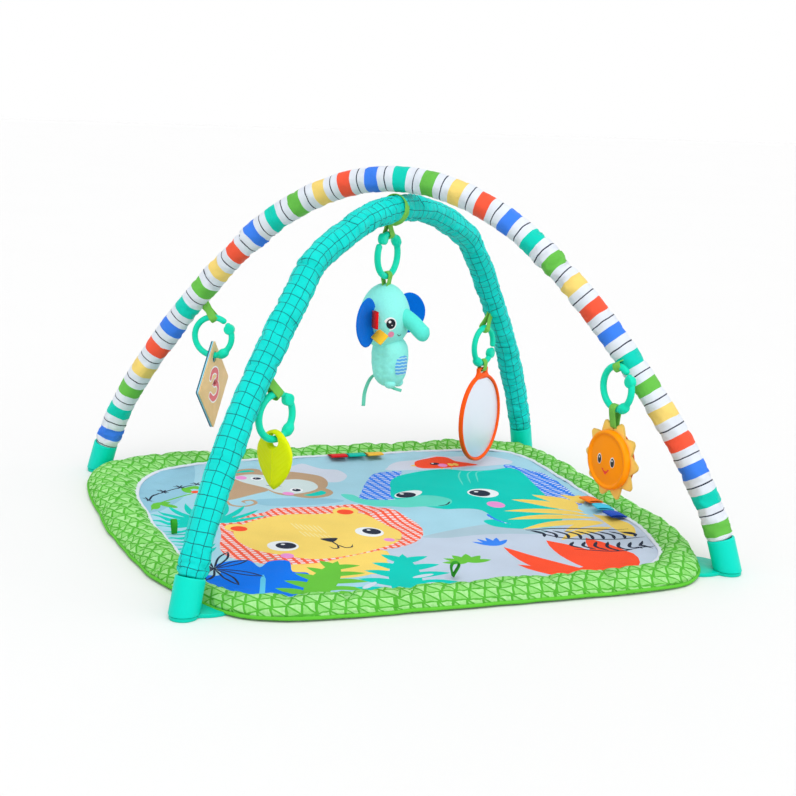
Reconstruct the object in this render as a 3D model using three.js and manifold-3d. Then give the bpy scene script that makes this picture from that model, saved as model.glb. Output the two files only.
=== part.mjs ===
// Baby activity play gym: a padded floor mat with four corner anchors, two crossed toy bars that
// stand on them, and five toys that hang from the bars on ring links.
// Units are millimetres, +Z is up, and the origin is on the floor at the middle of the mat.
// Every hanging toy has a local frame at its ring's centre: X along the ring, Y behind it, Z up.
import * as THREE from "three";
import { mergeVertices } from "three/addons/utils/BufferGeometryUtils.js";
import Module from "manifold-3d";

const wasm = await Module();
wasm.setup();

// ---- Driving dimensions ----

const FOOT_X = 330; // half the spacing of the feet along X
const FOOT_Y = 301; // half the spacing of the feet along Y
const HALF_DIAGONAL = Math.hypot(FOOT_X, FOOT_Y);
const GAP = 0.4; // clearance between neighbouring solids

const MAT_HALF_X = 351;
const MAT_HALF_Y = 332;
const MAT_SQUARENESS = 7; // exponent of the mat's superellipse outline
const CORNER_DIP = 0.05; // share by which the outline is drawn in behind each foot
const CORNER_SPREAD = 0.13; // half-width of that dip, as an angle
const MAT_SEGMENTS = 64;
const BORDER_INNER = 0.88; // inner edge of the border, as a share of the outline
const BORDER_CROWN = 30;
const PANEL_HEIGHT = 13;
const PIPING_RADIUS = 2.2;

const ANCHOR_THICKNESS = 4.5;
const ANCHOR_PAD_RADIUS = 34;
const ANCHOR_PAD_INSET = 40; // from the foot's centre towards the mat's centre
const ANCHOR_NECK_WIDTH = 26;
const STUD_RADIUS = 6;
const STUD_HEIGHT = 20;
const STUD_INSET = 3;

const CAP_RADIUS = 16.5;
const CAP_TOP_Z = 42;
const CAP_LEAN = THREE.MathUtils.degToRad(17.2); // from the vertical, towards the mat's centre
const TUBE_RADIUS = 12;
const TUBE_BORE = 10.6;
const TUBE_IN_CAP = 14;
const ELBOW_RADIUS = 9;
const ELBOW_REACH = 24;
const SLEEVE_RADIUS = 16.5;
const SLEEVE_BORE = 13.2;
const JOINT_CLEARANCE = 3.4; // each sleeve stops this far short of the joint between two tubes
const BAR_STEPS = 9; // straight steps along each tube and sleeve
const LEG_STEER = 66; // how far a leg goes on along its cap's axis before it curves
const LEG_END_REACH = 154;
const LEG_END_SLOPE = THREE.MathUtils.degToRad(41.6);

const RING_RADIUS = 26; // to the middle of the ring's section
const RING_SECTION = 3.75;
const KNOB_RADIUS = 7;
const KNOB_LENGTH = 9;

const STRAP_THICKNESS = 1.2;
const STRAP_WIDTH = 12;
const STRAP_INNER = 5; // inner radius where a strap goes round a ring
// How far each strap reaches up from its ring, and how far it leans sideways, in radians.
const STRAPS = {
  card: { reach: 42, lean: 0 },
  teether: { reach: 42, lean: 0 },
  mirror: { reach: 42, lean: 0 },
  sun: { reach: 30, lean: -0.55 },
};
// The band that ties the bars together: its half-width, its place along the teal bar from the
// middle, its tilt, and how much taller than wide it is.
const BAND = { half: 6.5, along: -13, tilt: 0.32, tall: 1.06, loopReach: 22 };

// The two toy bars. Each is three equal tubes: a leg, a top and a leg.
const ARCHES = {
  teal: { sign: 1, apex: 403, joint: [207, 350] },
  striped: { sign: -1, apex: 438, joint: [199, 357] },
};

// Where each toy hangs: plan position, height of the ring's centre, direction of the ring in
// plan, and the two angles between which the ring's opening gate lies.
const STATIONS = {
  card: { at: [-193.6, 182.6, 212], along: [0.851, -0.525], gate: [26, -58], arch: "striped", leg: -1 },
  teether: { at: [-207.5, -199.5, 189.5], along: [0.87, 0.493], gate: [42, -42], arch: "teal", leg: -1 },
  elephant: { at: [-19.5, -17.8, 347], along: [0.739, 0.674], gate: [122, 38], arch: "teal", leg: 0 },
  mirror: { at: [207.5, 192.2, 190], along: [0.803, 0.596], gate: [-34, -124], arch: "teal", leg: 1 },
  sun: { at: [208, -216, 213.5], along: [0.202, -0.979], gate: [26, -58], arch: "striped", leg: 1 },
};

const CARD = { side: 86, corner: 3, thickness: 1.4, pitch: 1.85, centre: -66.3, hole: 7.5 };
const TEETHER = { thickness: 10, top: -15, bottom: -84.4, halfWidth: 27.5, hole: 7 };
const MIRROR = { halfWidth: 55, halfHeight: 65, rim: 5, depth: 7, glass: 2, centre: -107 };
const LUG = { halfWidth: 11, top: -32, bar: 3.2, slotHalf: 7.5, slotHeight: 5.3 };
const SUN = { radius: 38, rays: 49, rayCount: 10, depth: 10, wall: 2.2, centre: -88.5 };
const BEAD_RADIUS = 4.5;
const HOLE_PLAY = 1.1; // between a ring and the top edge of a hole that hangs on it
// The elephant's stuffed parts: centres and half-sizes.
const HEAD = { at: [5, 4.2, -76.5], half: [30, 29, 39.5] };
const BODY = { at: [8, -5, -136.5], half: [23, 22, 33] };
const EAR = { halfWidth: 21, halfHeight: 30, thickness: 5, out: 24, back: 3, height: -80 };
const EAR_TURN = { near: -0.12, far: -0.75 };
const TRUNK_RADIUS = 8.5;
const TAIL_RADIUS = 1.6;

// ---- Materials ----

const COLOURS = {
  green: 0x6cc24a,
  lime: 0x8bd43c,
  panel: 0xcfe9f5,
  teal: 0x14c8b4,
  tube: 0xe9edf0,
  stripe: 0xeef1f6,
  strap: 0x6cbf45,
  ring: 0x12c9a4,
  tan: 0xe0b47a,
  ink: 0x2b6f86,
  leaf: 0xc3d40a,
  plush: 0x7fe6d8,
  trunk: 0x2cc7ae,
  ear: 0x0f63c8,
  orange: 0xf2641f,
  amber: 0xff9a0a,
  ray: 0xf3c462,
  glass: 0xdfe6ee,
  ribbon: 0xe33b2e,
};

function plastic(colour) {
  return new THREE.MeshStandardMaterial({ color: COLOURS[colour], roughness: 0.4, metalness: 0 });
}

function cloth(colour) {
  return new THREE.MeshStandardMaterial({ color: COLOURS[colour], roughness: 0.9, metalness: 0 });
}

function mirrorFoil() {
  return new THREE.MeshStandardMaterial({ color: COLOURS.glass, roughness: 0.05, metalness: 1 });
}

// ---- Geometry helpers ----

const root = new THREE.Group();

function add(name, geometry, material, parent = root) {
  const mesh = new THREE.Mesh(geometry, material);
  mesh.name = name;
  parent.add(mesh);
  return mesh;
}

// A closed geometry as a manifold-3d solid.
function solid(geometry) {
  const bare = geometry.index ? geometry.toNonIndexed() : geometry.clone();
  bare.deleteAttribute("normal");
  bare.deleteAttribute("uv");
  const merged = mergeVertices(bare, 1e-3);
  return new wasm.Manifold(
    new wasm.Mesh({
      numProp: 3,
      vertProperties: new Float32Array(merged.attributes.position.array),
      triVerts: new Uint32Array(merged.index.array),
    }),
  );
}

function geometryOf(made) {
  const mesh = made.getMesh();
  const position = new THREE.BufferAttribute(new Float32Array(mesh.vertProperties), 3);
  const geometry = new THREE.BufferGeometry().setAttribute("position", position);
  geometry.setIndex(new THREE.BufferAttribute(new Uint32Array(mesh.triVerts), 1));
  geometry.computeVertexNormals();
  return geometry;
}

function union(...geometries) {
  return geometryOf(geometries.map(solid).reduce((a, b) => a.add(b)));
}

function cut(geometry, ...cutters) {
  return geometryOf(cutters.map(solid).reduce((a, b) => a.subtract(b), solid(geometry)));
}

// A flat outline in X and Y, extruded upwards from low to high.
function slab(shape, low, high, curveSegments = 12) {
  const options = { depth: high - low, bevelEnabled: false, curveSegments };
  return new THREE.ExtrudeGeometry(shape, options).translate(0, 0, low);
}

// A flat outline drawn in X and Z, standing up, from y = front to y = back.
function standing(shape, front, back, curveSegments = 12) {
  return slab(shape, -back, -front, curveSegments).rotateX(Math.PI / 2);
}

// A flat outline drawn in Y and Z, standing up across X, from x = low to x = high.
function crossways(shape, low, high, curveSegments = 12) {
  return slab(shape, low, high, curveSegments).rotateX(Math.PI / 2).rotateZ(Math.PI / 2);
}

function disc(radius, low, high, segments = 24) {
  return new THREE.CylinderGeometry(radius, radius, high - low, segments)
    .rotateX(Math.PI / 2)
    .translate(0, 0, (low + high) / 2);
}

function ellipsoid(rx, ry, rz, width = 18, height = 12) {
  return new THREE.SphereGeometry(1, width, height).rotateX(Math.PI / 2).scale(rx, ry, rz);
}

function circleShape(radius, hole = 0) {
  const shape = new THREE.Shape().absarc(0, 0, radius, 0, 2 * Math.PI);
  if (hole) shape.holes.push(new THREE.Path().absarc(0, 0, hole, 0, 2 * Math.PI));
  return shape;
}

// A round bar or pipe along a curve, closed at both ends. sides is a multiple of 4.
function swept(curve, radius, hole, steps, sides) {
  const options = { steps, bevelEnabled: false, extrudePath: curve, curveSegments: sides / 2 };
  return new THREE.ExtrudeGeometry(circleShape(radius, hole), options);
}

// The part of a curve between two distances from its start.
class Stretch extends THREE.Curve {
  constructor(curve, from, to) {
    super();
    this.curve = curve;
    this.from = from / curve.getLength();
    this.to = to / curve.getLength();
  }
  getPoint(t, target = new THREE.Vector3()) {
    return this.curve.getPointAt(this.from + (this.to - this.from) * t, target);
  }
}

// ---- Mat ----

function matRadius(angle) {
  const x = Math.abs(Math.cos(angle));
  const y = Math.abs(Math.sin(angle));
  const sum = (x / MAT_HALF_X) ** MAT_SQUARENESS + (y / MAT_HALF_Y) ** MAT_SQUARENESS;
  const off = (Math.atan2(y, x) - Math.atan2(FOOT_Y, FOOT_X)) / CORNER_SPREAD;
  return sum ** (-1 / MAT_SQUARENESS) * (1 - CORNER_DIP * Math.exp(-off * off));
}

// A profile of [share of the outline, height] turned round the mat's outline.
function roundMat(profile) {
  const points = profile.map(([share, height]) => new THREE.Vector2(share, height));
  const turned = new THREE.LatheGeometry(points, MAT_SEGMENTS).rotateX(Math.PI / 2);
  const position = turned.attributes.position;
  for (let i = 0; i < position.count; i++) {
    const share = Math.hypot(position.getX(i), position.getY(i));
    const even = Math.atan2(position.getY(i), position.getX(i));
    const angle = even + 0.11 * Math.sin(4 * even); // sets the points closer at the corners
    const radius = share * matRadius(angle);
    position.setXY(i, radius * Math.cos(angle), radius * Math.sin(angle));
  }
  return turned;
}

function borderProfile() {
  const inner = BORDER_INNER;
  const width = 1 - inner;
  return [
    [inner + 0.002, 0],
    [1 - 0.1 * width, 0],
    [1 - 0.02 * width, 4.5],
    [1 - 0.02 * width, 10],
    [1 - 0.16 * width, 22],
    [1 - 0.45 * width, BORDER_CROWN],
    [inner + 0.14 * width, 22],
    [inner + 0.002, PANEL_HEIGHT - 1],
    [inner + 0.002, 0],
  ];
}

function panelProfile() {
  const rim = BORDER_INNER - 0.001;
  return [
    [0, 0],
    [rim, 0],
    [rim, PANEL_HEIGHT - 4],
    [rim - 0.03, PANEL_HEIGHT],
    [0, PANEL_HEIGHT],
  ];
}

// The cord-like edging along the foot of the border.
function pipingProfile() {
  const share = PIPING_RADIUS / MAT_HALF_X;
  const middle = 1 + share;
  const turn = (k) => [
    middle + share * Math.sin((k * 2 * Math.PI) / 5),
    PIPING_RADIUS + 5.4 - PIPING_RADIUS * Math.cos((k * 2 * Math.PI) / 5),
  ];
  return [0, 1, 2, 3, 4, 5].map(turn);
}

// Unit vector in plan from a foot towards the mat's centre.
function inward(sx, sy) {
  return [(-sx * FOOT_X) / HALF_DIAGONAL, (-sy * FOOT_Y) / HALF_DIAGONAL];
}

function anchorPlan(grow) {
  const half = ANCHOR_NECK_WIDTH / 2 + grow;
  const neck = new THREE.Shape([
    new THREE.Vector2(0, -half),
    new THREE.Vector2(ANCHOR_PAD_INSET, -half),
    new THREE.Vector2(ANCHOR_PAD_INSET, half),
    new THREE.Vector2(0, half),
  ]);
  const top = ANCHOR_THICKNESS + grow;
  return union(
    slab(neck, -grow, top),
    disc(CAP_RADIUS + grow, -grow, top, 20),
    disc(ANCHOR_PAD_RADIUS + grow, -grow, top, 24).translate(ANCHOR_PAD_INSET, 0, 0),
  );
}

const CORNERS = [
  ["front_left", -1, -1],
  ["front_right", 1, -1],
  ["back_left", -1, 1],
  ["back_right", 1, 1],
];

function toCorner(geometry, sx, sy) {
  const [dx, dy] = inward(sx, sy);
  return geometry.rotateZ(Math.atan2(dy, dx)).translate(sx * FOOT_X, sy * FOOT_Y, 0);
}

function buildMat() {
  const pockets = CORNERS.map(([, sx, sy]) => toCorner(anchorPlan(0.6), sx, sy));
  const border = cut(roundMat(borderProfile()), ...pockets);
  const panel = cut(roundMat(panelProfile()), ...pockets);
  add("mat_border", border, cloth("green"));
  add("mat_panel", panel, cloth("panel"));
  add("mat_piping", roundMat(pipingProfile()), cloth("lime"));
}

function buildAnchors() {
  const stud = disc(STUD_RADIUS, 1, ANCHOR_THICKNESS + STUD_HEIGHT, 12).translate(STUD_INSET, 0, 0);
  for (const [name, sx, sy] of CORNERS) {
    add(`anchor_${name}`, toCorner(union(anchorPlan(0), stud), sx, sy), plastic("teal"));
  }
}

// A flat folded ribbon lying on the mat's panel, as one outline drawn in X and Z.
function ribbonLoop(length, height, width) {
  const outline = new THREE.Shape();
  outline.moveTo(-length / 2, 0);
  outline.lineTo(length / 2, 0);
  outline.quadraticCurveTo(length / 2 + 1, height / 2, length / 2, height);
  outline.lineTo(-length / 2, height);
  outline.quadraticCurveTo(-length / 2 - 1, height / 2, -length / 2, 0);
  return standing(outline, -width / 2, width / 2, 3);
}

// A ribbon loop that stands up from the panel with an open eye.
function standingLoop(length, height, width) {
  const outline = new THREE.Shape().absellipse(0, 0, length / 2, height / 2, 0, 2 * Math.PI);
  const eye = new THREE.Path();
  eye.absellipse(0, 0, length / 2 - 1.4, height / 2 - 1.4, 0, 2 * Math.PI);
  outline.holes.push(eye);
  return standing(outline, -width / 2, width / 2, 5);
}

function buildMatRibbons() {
  const lie = PANEL_HEIGHT + GAP;
  const back = ribbonLoop(84, 3, 24).translate(45, 262, lie);
  add("tag_ribbons_back", back, cloth("ribbon"));
  const right = ribbonLoop(110, 3, 22).rotateZ(Math.PI / 2).translate(283, -60, lie);
  add("tag_ribbons_right", right, cloth("orange"));
  const left = standingLoop(14, 24, 10).rotateZ(Math.PI / 2).translate(-290, -50, lie + 12);
  add("mat_loop_left", left, cloth("strap"));
  const front = standingLoop(14, 24, 10).translate(-14, -271, lie + 12);
  add("mat_loop_front", front, cloth("strap"));
}

// ---- Toy bars ----

// A point of an arch: distance s from the middle along its diagonal, and height z.
function archPoint(arch, s, z) {
  const [x, y] = [FOOT_X / HALF_DIAGONAL, (ARCHES[arch].sign * FOOT_Y) / HALF_DIAGONAL];
  return new THREE.Vector3(s * x, s * y, z);
}

// Along the cap's axis: the point that lies below or above the cap's top by a distance.
function capAxis(distance) {
  const s = HALF_DIAGONAL - CAP_TOP_Z * Math.tan(CAP_LEAN) - distance * Math.sin(CAP_LEAN);
  return [s, CAP_TOP_Z + distance * Math.cos(CAP_LEAN)];
}

function legCurve(arch, side) {
  const [jointS, jointZ] = ARCHES[arch].joint;
  const start = capAxis(-TUBE_IN_CAP);
  const steer = capAxis(LEG_STEER);
  const [run, drop] = [Math.cos(LEG_END_SLOPE), Math.sin(LEG_END_SLOPE)];
  const end = [jointS + LEG_END_REACH * run, jointZ - LEG_END_REACH * drop];
  const points = [start, steer, end, [jointS, jointZ]];
  return new THREE.CubicBezierCurve3(...points.map(([s, z]) => archPoint(arch, side * s, z)));
}

function topCurve(arch) {
  const { apex, joint } = ARCHES[arch];
  const [s, z] = joint;
  return new THREE.QuadraticBezierCurve3(
    archPoint(arch, -s, z),
    archPoint(arch, 0, 2 * apex - z),
    archPoint(arch, s, z),
  );
}

function sleeveOf(arch, part, radius, hole) {
  const curve = part ? legCurve(arch, part) : topCurve(arch);
  const length = curve.getLength();
  const from = part ? TUBE_IN_CAP + 1.4 : JOINT_CLEARANCE;
  return swept(new Stretch(curve, from, length - JOINT_CLEARANCE), radius, hole, BAR_STEPS, 12);
}

function tubeOf(arch, part, radius, hole) {
  const curve = part ? legCurve(arch, part) : topCurve(arch);
  const length = curve.getLength();
  const from = part ? GAP : JOINT_CLEARANCE;
  return swept(new Stretch(curve, from, length - JOINT_CLEARANCE), radius, hole, BAR_STEPS, 8);
}

// The connector that joins a leg's tube to the top tube, inside both.
function elbowOf(arch, side) {
  const leg = legCurve(arch, side);
  const top = topCurve(arch);
  const legLength = leg.getLength();
  const topLength = top.getLength();
  const onLeg = (d) => leg.getPointAt(1 - d / legLength);
  const onTop = (d) => top.getPointAt(side < 0 ? d / topLength : 1 - d / topLength);
  const path = new THREE.CatmullRomCurve3([
    onLeg(ELBOW_REACH),
    onLeg(ELBOW_REACH * 0.6),
    onLeg(5),
    onTop(5),
    onTop(ELBOW_REACH * 0.6),
    onTop(ELBOW_REACH),
  ]);
  return swept(path, ELBOW_RADIUS, 0, 8, 8);
}

function capOf(arch, side, sx, sy) {
  const [s, z] = capAxis(-30);
  const axis = archPoint(arch, side * -Math.sin(CAP_LEAN), Math.cos(CAP_LEAN));
  const turn = new THREE.Quaternion().setFromUnitVectors(new THREE.Vector3(0, 0, 1), axis);
  const centre = archPoint(arch, side * s, z);
  const barrel = disc(CAP_RADIUS, -30, 30, 24).applyQuaternion(turn);
  barrel.translate(centre.x, centre.y, centre.z);
  const floor = new THREE.BoxGeometry(120, 120, 40);
  floor.translate(sx * FOOT_X, sy * FOOT_Y, ANCHOR_THICKNESS + GAP - 20);
  const bore = disc(STUD_RADIUS + 0.6, 0, ANCHOR_THICKNESS + STUD_HEIGHT + 1.2, 12);
  const studHole = toCorner(bore.translate(STUD_INSET, 0, 0), sx, sy);
  const leg = new Stretch(legCurve(arch, side), 0, 2 * TUBE_IN_CAP);
  const tubeHole = swept(leg, TUBE_RADIUS + 1.2, 0, 3, 12);
  return cut(barrel, floor, studHole, tubeHole);
}

function buildArch(arch) {
  const corners = CORNERS.filter(([, sx, sy]) => sx * sy === ARCHES[arch].sign);
  for (const [name, sx, sy] of corners) {
    add(`end_cap_${name}`, capOf(arch, sx, sx, sy), plastic("teal"));
    add(`tube_leg_${name}`, tubeOf(arch, sx, TUBE_RADIUS, TUBE_BORE), plastic("tube"));
    add(`tube_elbow_${name}`, elbowOf(arch, sx), plastic("tube"));
    const sleeve = sleeveOf(arch, sx, SLEEVE_RADIUS, SLEEVE_BORE);
    add(`sleeve_leg_${name}`, sleeve, cloth(arch === "teal" ? "teal" : "stripe"));
  }
  add(`tube_top_${arch}`, tubeOf(arch, 0, TUBE_RADIUS, TUBE_BORE), plastic("tube"));
  const top = sleeveOf(arch, 0, SLEEVE_RADIUS, SLEEVE_BORE);
  add(`sleeve_top_${arch}`, top, cloth(arch === "teal" ? "teal" : "stripe"));
}

// ---- Straps ----

// A closed strap drawn in Y and Z: round a bar of inner radius a at the origin, and round
// another of inner radius b at height h.
function strapOutline(a, b, h) {
  const belt = (grow) => {
    const [ra, rb] = [a + grow, b + grow];
    const lean = Math.asin((ra - rb) / Math.abs(h)) * Math.sign(h);
    const path = new THREE.Shape();
    if (h > 0) {
      path.absarc(0, 0, ra, Math.PI - lean, 2 * Math.PI + lean, false);
      path.absarc(0, h, rb, lean, Math.PI - lean, false);
    } else {
      path.absarc(0, 0, ra, lean, Math.PI - lean, false);
      path.absarc(0, h, rb, Math.PI - lean, 2 * Math.PI + lean, false);
    }
    path.closePath();
    return path;
  };
  const outer = belt(STRAP_THICKNESS);
  outer.holes.push(belt(0));
  return outer;
}

function strap(a, b, h, width = STRAP_WIDTH) {
  return crossways(strapOutline(a, b, h), -width / 2, width / 2, 5);
}

function toStation(geometry, name) {
  const { at, along } = STATIONS[name];
  return geometry.rotateZ(Math.atan2(along[1], along[0])).translate(...at);
}

// The strap that is sewn to a sleeve and holds a ring's top, trimmed where the sleeve begins.
function archStrap(name) {
  const { arch, leg } = STATIONS[name];
  const { reach, lean: sideways } = STRAPS[name];
  const loop = strap(STRAP_INNER, 1, reach).translate(0, 0, RING_RADIUS);
  const lean = new THREE.Matrix4().makeRotationX(sideways);
  const pivot = new THREE.Matrix4().makeTranslation(0, 0, RING_RADIUS);
  loop.applyMatrix4(pivot.clone().multiply(lean).multiply(pivot.clone().invert()));
  const sleeve = sleeveOf(arch, leg, SLEEVE_RADIUS + GAP, 0);
  const pieces = solid(toStation(loop, name)).subtract(solid(sleeve)).decompose();
  const byHeight = (a, b) => a.boundingBox().min[2] - b.boundingBox().min[2];
  return geometryOf(pieces.sort(byHeight)[0]);
}

// The strap that ties the bars together: a band round the teal bar, between it and the striped
// one at the top, with the elephant's loop sewn under it.
function centreStrap() {
  const top = topCurve("teal");
  const middle = top.getPointAt(0.5 + BAND.along / top.getLength());
  const band = circleShape(SLEEVE_RADIUS + GAP + STRAP_THICKNESS, SLEEVE_RADIUS + GAP);
  const heading = Math.atan2(FOOT_Y, FOOT_X);
  const ring = crossways(band, -BAND.half, BAND.half, 10);
  ring.scale(1, 1, BAND.tall).rotateY(BAND.tilt).rotateZ(heading);
  ring.translate(middle.x, middle.y, middle.z);
  const loop = strap(STRAP_INNER, 1, BAND.loopReach).translate(0, 0, RING_RADIUS);
  const sewn = union(ring, toStation(loop, "elephant"));
  const bars = ["teal", "striped"].map((arch) => sleeveOf(arch, 0, SLEEVE_RADIUS + GAP, 0));
  return cut(sewn, ...bars);
}

function buildStraps() {
  for (const name of Object.keys(STRAPS)) {
    add(`strap_${name}`, archStrap(name), cloth("strap"));
  }
  add("strap_centre", centreStrap(), cloth("strap"));
}

// ---- Ring links ----

function ringLink(gate) {
  const hoop = new THREE.TorusGeometry(RING_RADIUS, RING_SECTION, 8, 24).rotateX(Math.PI / 2);
  const at = (degrees, radius) => {
    const angle = THREE.MathUtils.degToRad(degrees);
    return [radius * Math.cos(angle), 0, radius * Math.sin(angle)];
  };
  const knobs = gate.map((degrees) => {
    const knob = new THREE.CylinderGeometry(KNOB_RADIUS, KNOB_RADIUS, KNOB_LENGTH, 10);
    return knob.translate(...at(degrees, RING_RADIUS - 1));
  });
  const outside = gate[0] + Math.sign(gate[0] - gate[1]) * 21;
  const slit = new THREE.BoxGeometry(3 * KNOB_RADIUS, 3 * KNOB_RADIUS, 1.6);
  slit.rotateY(-THREE.MathUtils.degToRad(outside)).translate(...at(outside, RING_RADIUS));
  return cut(union(hoop, ...knobs), slit);
}

function station(name) {
  const { at, along, gate } = STATIONS[name];
  const group = new THREE.Group();
  group.position.set(...at);
  group.rotation.z = Math.atan2(along[1], along[0]);
  root.add(group);
  add(`ring_link_${name}`, ringLink(gate), plastic("ring"), group);
  return group;
}

// ---- Toys ----

function buildCards() {
  const group = station("card");
  const half = CARD.side / 2;
  const tip = half - CARD.corner;
  const square = new THREE.Shape();
  square.absarc(tip, tip, CARD.corner, 0, Math.PI / 2);
  square.absarc(-tip, tip, CARD.corner, Math.PI / 2, Math.PI);
  square.absarc(-tip, -tip, CARD.corner, Math.PI, 1.5 * Math.PI);
  square.absarc(tip, -tip, CARD.corner, 1.5 * Math.PI, 2 * Math.PI);
  const rest = -RING_RADIUS + RING_SECTION + HOLE_PLAY; // where the hole's top edge hangs
  const names = ["card_back", "card_middle", "card_front"];
  names.forEach((name, i) => {
    const x = (i - 1) * CARD.pitch;
    const [low, high] = [x - CARD.thickness / 2, x + CARD.thickness / 2];
    const board = slab(square, low, high, 3).rotateZ(Math.PI / 4);
    board.rotateX(Math.PI / 2).rotateZ(Math.PI / 2).translate(0, 0, CARD.centre);
    const hole = crossways(circleShape(CARD.hole), low - 1, high + 1, 10);
    hole.translate(0, 0, rest - CARD.hole);
    add(name, cut(board, hole), plastic(i === 2 ? "tan" : "ink"), group);
  });
}

function buildTeether() {
  const group = station("teether");
  const { top, bottom, halfWidth } = TEETHER;
  const height = top - bottom;
  const bulge = top - 0.4 * height;
  const leaf = new THREE.Shape();
  leaf.moveTo(0, bottom);
  leaf.bezierCurveTo(10, bottom + 4, halfWidth, bulge - 22, halfWidth, bulge);
  leaf.bezierCurveTo(halfWidth, bulge + 17, 14, top, 0, top);
  leaf.bezierCurveTo(-14, top, -halfWidth, bulge + 17, -halfWidth, bulge);
  leaf.bezierCurveTo(-halfWidth, bulge - 22, -10, bottom + 4, 0, bottom);
  const rest = -RING_RADIUS + RING_SECTION + HOLE_PLAY;
  const hole = new THREE.Path().absarc(0, rest - TEETHER.hole, TEETHER.hole, 0, 2 * Math.PI);
  leaf.holes.push(hole);
  const half = TEETHER.thickness / 2;
  add("leaf_teether", crossways(leaf, -half, half, 7), plastic("leaf"), group);
}

function buildElephant() {
  const group = station("elephant");
  const stuffed = ({ at, half }, grow = 0) => {
    return ellipsoid(...half.map((size) => size + grow)).translate(...at);
  };
  const headRoom = stuffed(HEAD, GAP);
  const bodyRoom = stuffed(BODY, GAP);
  add("elephant_head", stuffed(HEAD), cloth("plush"), group);
  add("elephant_body", cut(stuffed(BODY), headRoom), cloth("plush"), group);
  const earShape = ellipseShape(EAR.halfWidth, EAR.halfHeight);
  for (const [name, side] of [["near", -1], ["far", 1]]) {
    const ear = standing(earShape, -EAR.thickness / 2, EAR.thickness / 2, 8);
    ear.translate(side * EAR.halfWidth, 0, 0).rotateZ(EAR_TURN[name]);
    ear.translate(HEAD.at[0] + side * EAR.out, EAR.back, EAR.height);
    add(`elephant_ear_${name}`, cut(ear, headRoom), cloth("ear"), group);
  }
  const trunkPath = new THREE.CatmullRomCurve3([
    new THREE.Vector3(5, -18, -73),
    new THREE.Vector3(5, -36, -82),
    new THREE.Vector3(5, -50, -94),
    new THREE.Vector3(5, -60, -95),
  ]);
  add("elephant_trunk", cut(swept(trunkPath, TRUNK_RADIUS, 0, 8, 12), headRoom), cloth("trunk"), group);
  const tailPath = new THREE.CatmullRomCurve3([
    new THREE.Vector3(6, 8, -150),
    new THREE.Vector3(5, 20, -160),
    new THREE.Vector3(4, 27, -178),
    new THREE.Vector3(3, 28, -197),
  ]);
  add("elephant_tail", cut(swept(tailPath, TAIL_RADIUS, 0, 8, 8), bodyRoom), cloth("trunk"), group);
  const loop = strap(STRAP_INNER, 1.4, -16, 10).translate(0, 0, -RING_RADIUS);
  add("elephant_loop", cut(loop, headRoom), cloth("strap"), group);
}

function ellipseShape(halfWidth, halfHeight) {
  return new THREE.Shape().absellipse(0, 0, halfWidth, halfHeight, 0, 2 * Math.PI);
}

function buildMirror() {
  const group = station("mirror");
  const { halfWidth, halfHeight, rim, depth, glass, centre } = MIRROR;
  const plate = standing(ellipseShape(halfWidth, halfHeight), -depth / 2, depth / 2, 20);
  const room = standing(ellipseShape(halfWidth - rim, halfHeight - rim), -depth, depth, 20);
  const lugHeight = 14;
  const lug = new THREE.BoxGeometry(2 * LUG.halfWidth, depth - 2, lugHeight);
  lug.translate(0, 0, LUG.top - lugHeight / 2);
  const slot = new THREE.BoxGeometry(2 * LUG.slotHalf, 2 * depth, LUG.slotHeight);
  slot.translate(0, 0, LUG.top - LUG.bar - LUG.slotHeight / 2);
  const body = union(plate.translate(0, 0, centre), lug);
  add("mirror_frame", cut(body, room.translate(0, 0, centre), slot), plastic("orange"), group);
  const inset = rim + GAP;
  const foil = standing(ellipseShape(halfWidth - inset, halfHeight - inset), -glass / 2, glass / 2, 20);
  add("mirror_plate", foil.translate(0, 0, centre), mirrorFoil(), group);
  const bar = LUG.top - LUG.bar / 2;
  const loop = strap(STRAP_INNER, 3.9, bar + RING_RADIUS, 10);
  add("mirror_loop", loop.translate(0, 0, -RING_RADIUS), cloth("strap"), group);
}

// One half of the sun's rattle case: a shallow cup, open towards the rays.
function sunShell(front) {
  const { radius, depth, wall } = SUN;
  const profile = [
    [0, depth],
    [radius - 4, depth],
    [radius, depth - 4],
    [radius, 1.8],
    [radius - wall - 3, 1.8],
    [radius - wall - 3, depth - wall - 2],
    [0, depth - wall],
    [0, depth],
  ].map(([r, h]) => new THREE.Vector2(r, h));
  const cup = new THREE.LatheGeometry(profile.reverse(), 22);
  return cup.rotateX(front ? Math.PI : 0).translate(0, 0, SUN.centre);
}

function buildSun() {
  const group = station("sun");
  add("sun_face", sunShell(true), plastic("amber"), group);
  add("sun_back", sunShell(false), plastic("orange"), group);
  const rays = new THREE.Shape();
  const count = 2 * SUN.rayCount;
  for (let k = 0; k <= count; k++) {
    const radius = k % 2 ? SUN.radius - 2 : SUN.rays;
    const angle = Math.PI / 2 + (k * 2 * Math.PI) / count;
    const [x, z] = [radius * Math.cos(angle), radius * Math.sin(angle)];
    if (k) rays.lineTo(x, z);
    else rays.moveTo(x, z);
  }
  rays.holes.push(new THREE.Path().absarc(0, 0, SUN.radius - 12, 0, 2 * Math.PI));
  add("sun_rays", standing(rays, -1.2, 1.2, 8).translate(0, 0, SUN.centre), cloth("ray"), group);
  const bead = ellipsoid(BEAD_RADIUS, BEAD_RADIUS, BEAD_RADIUS, 10, 6);
  add("rattle_bead", bead.translate(0, 0, SUN.centre - 12), plastic("tube"), group);
  const foot = SUN.centre + SUN.radius + STRAP_THICKNESS + 2.4;
  const loop = strap(STRAP_INNER, 1.7, foot + RING_RADIUS, 11).translate(0, 0, -RING_RADIUS);
  const room = new THREE.BoxGeometry(60, 3.2, 40).translate(0, 0, SUN.centre + SUN.rays - 19.6);
  add("sun_loop", cut(loop, room), cloth("strap"), group);
}

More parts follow.
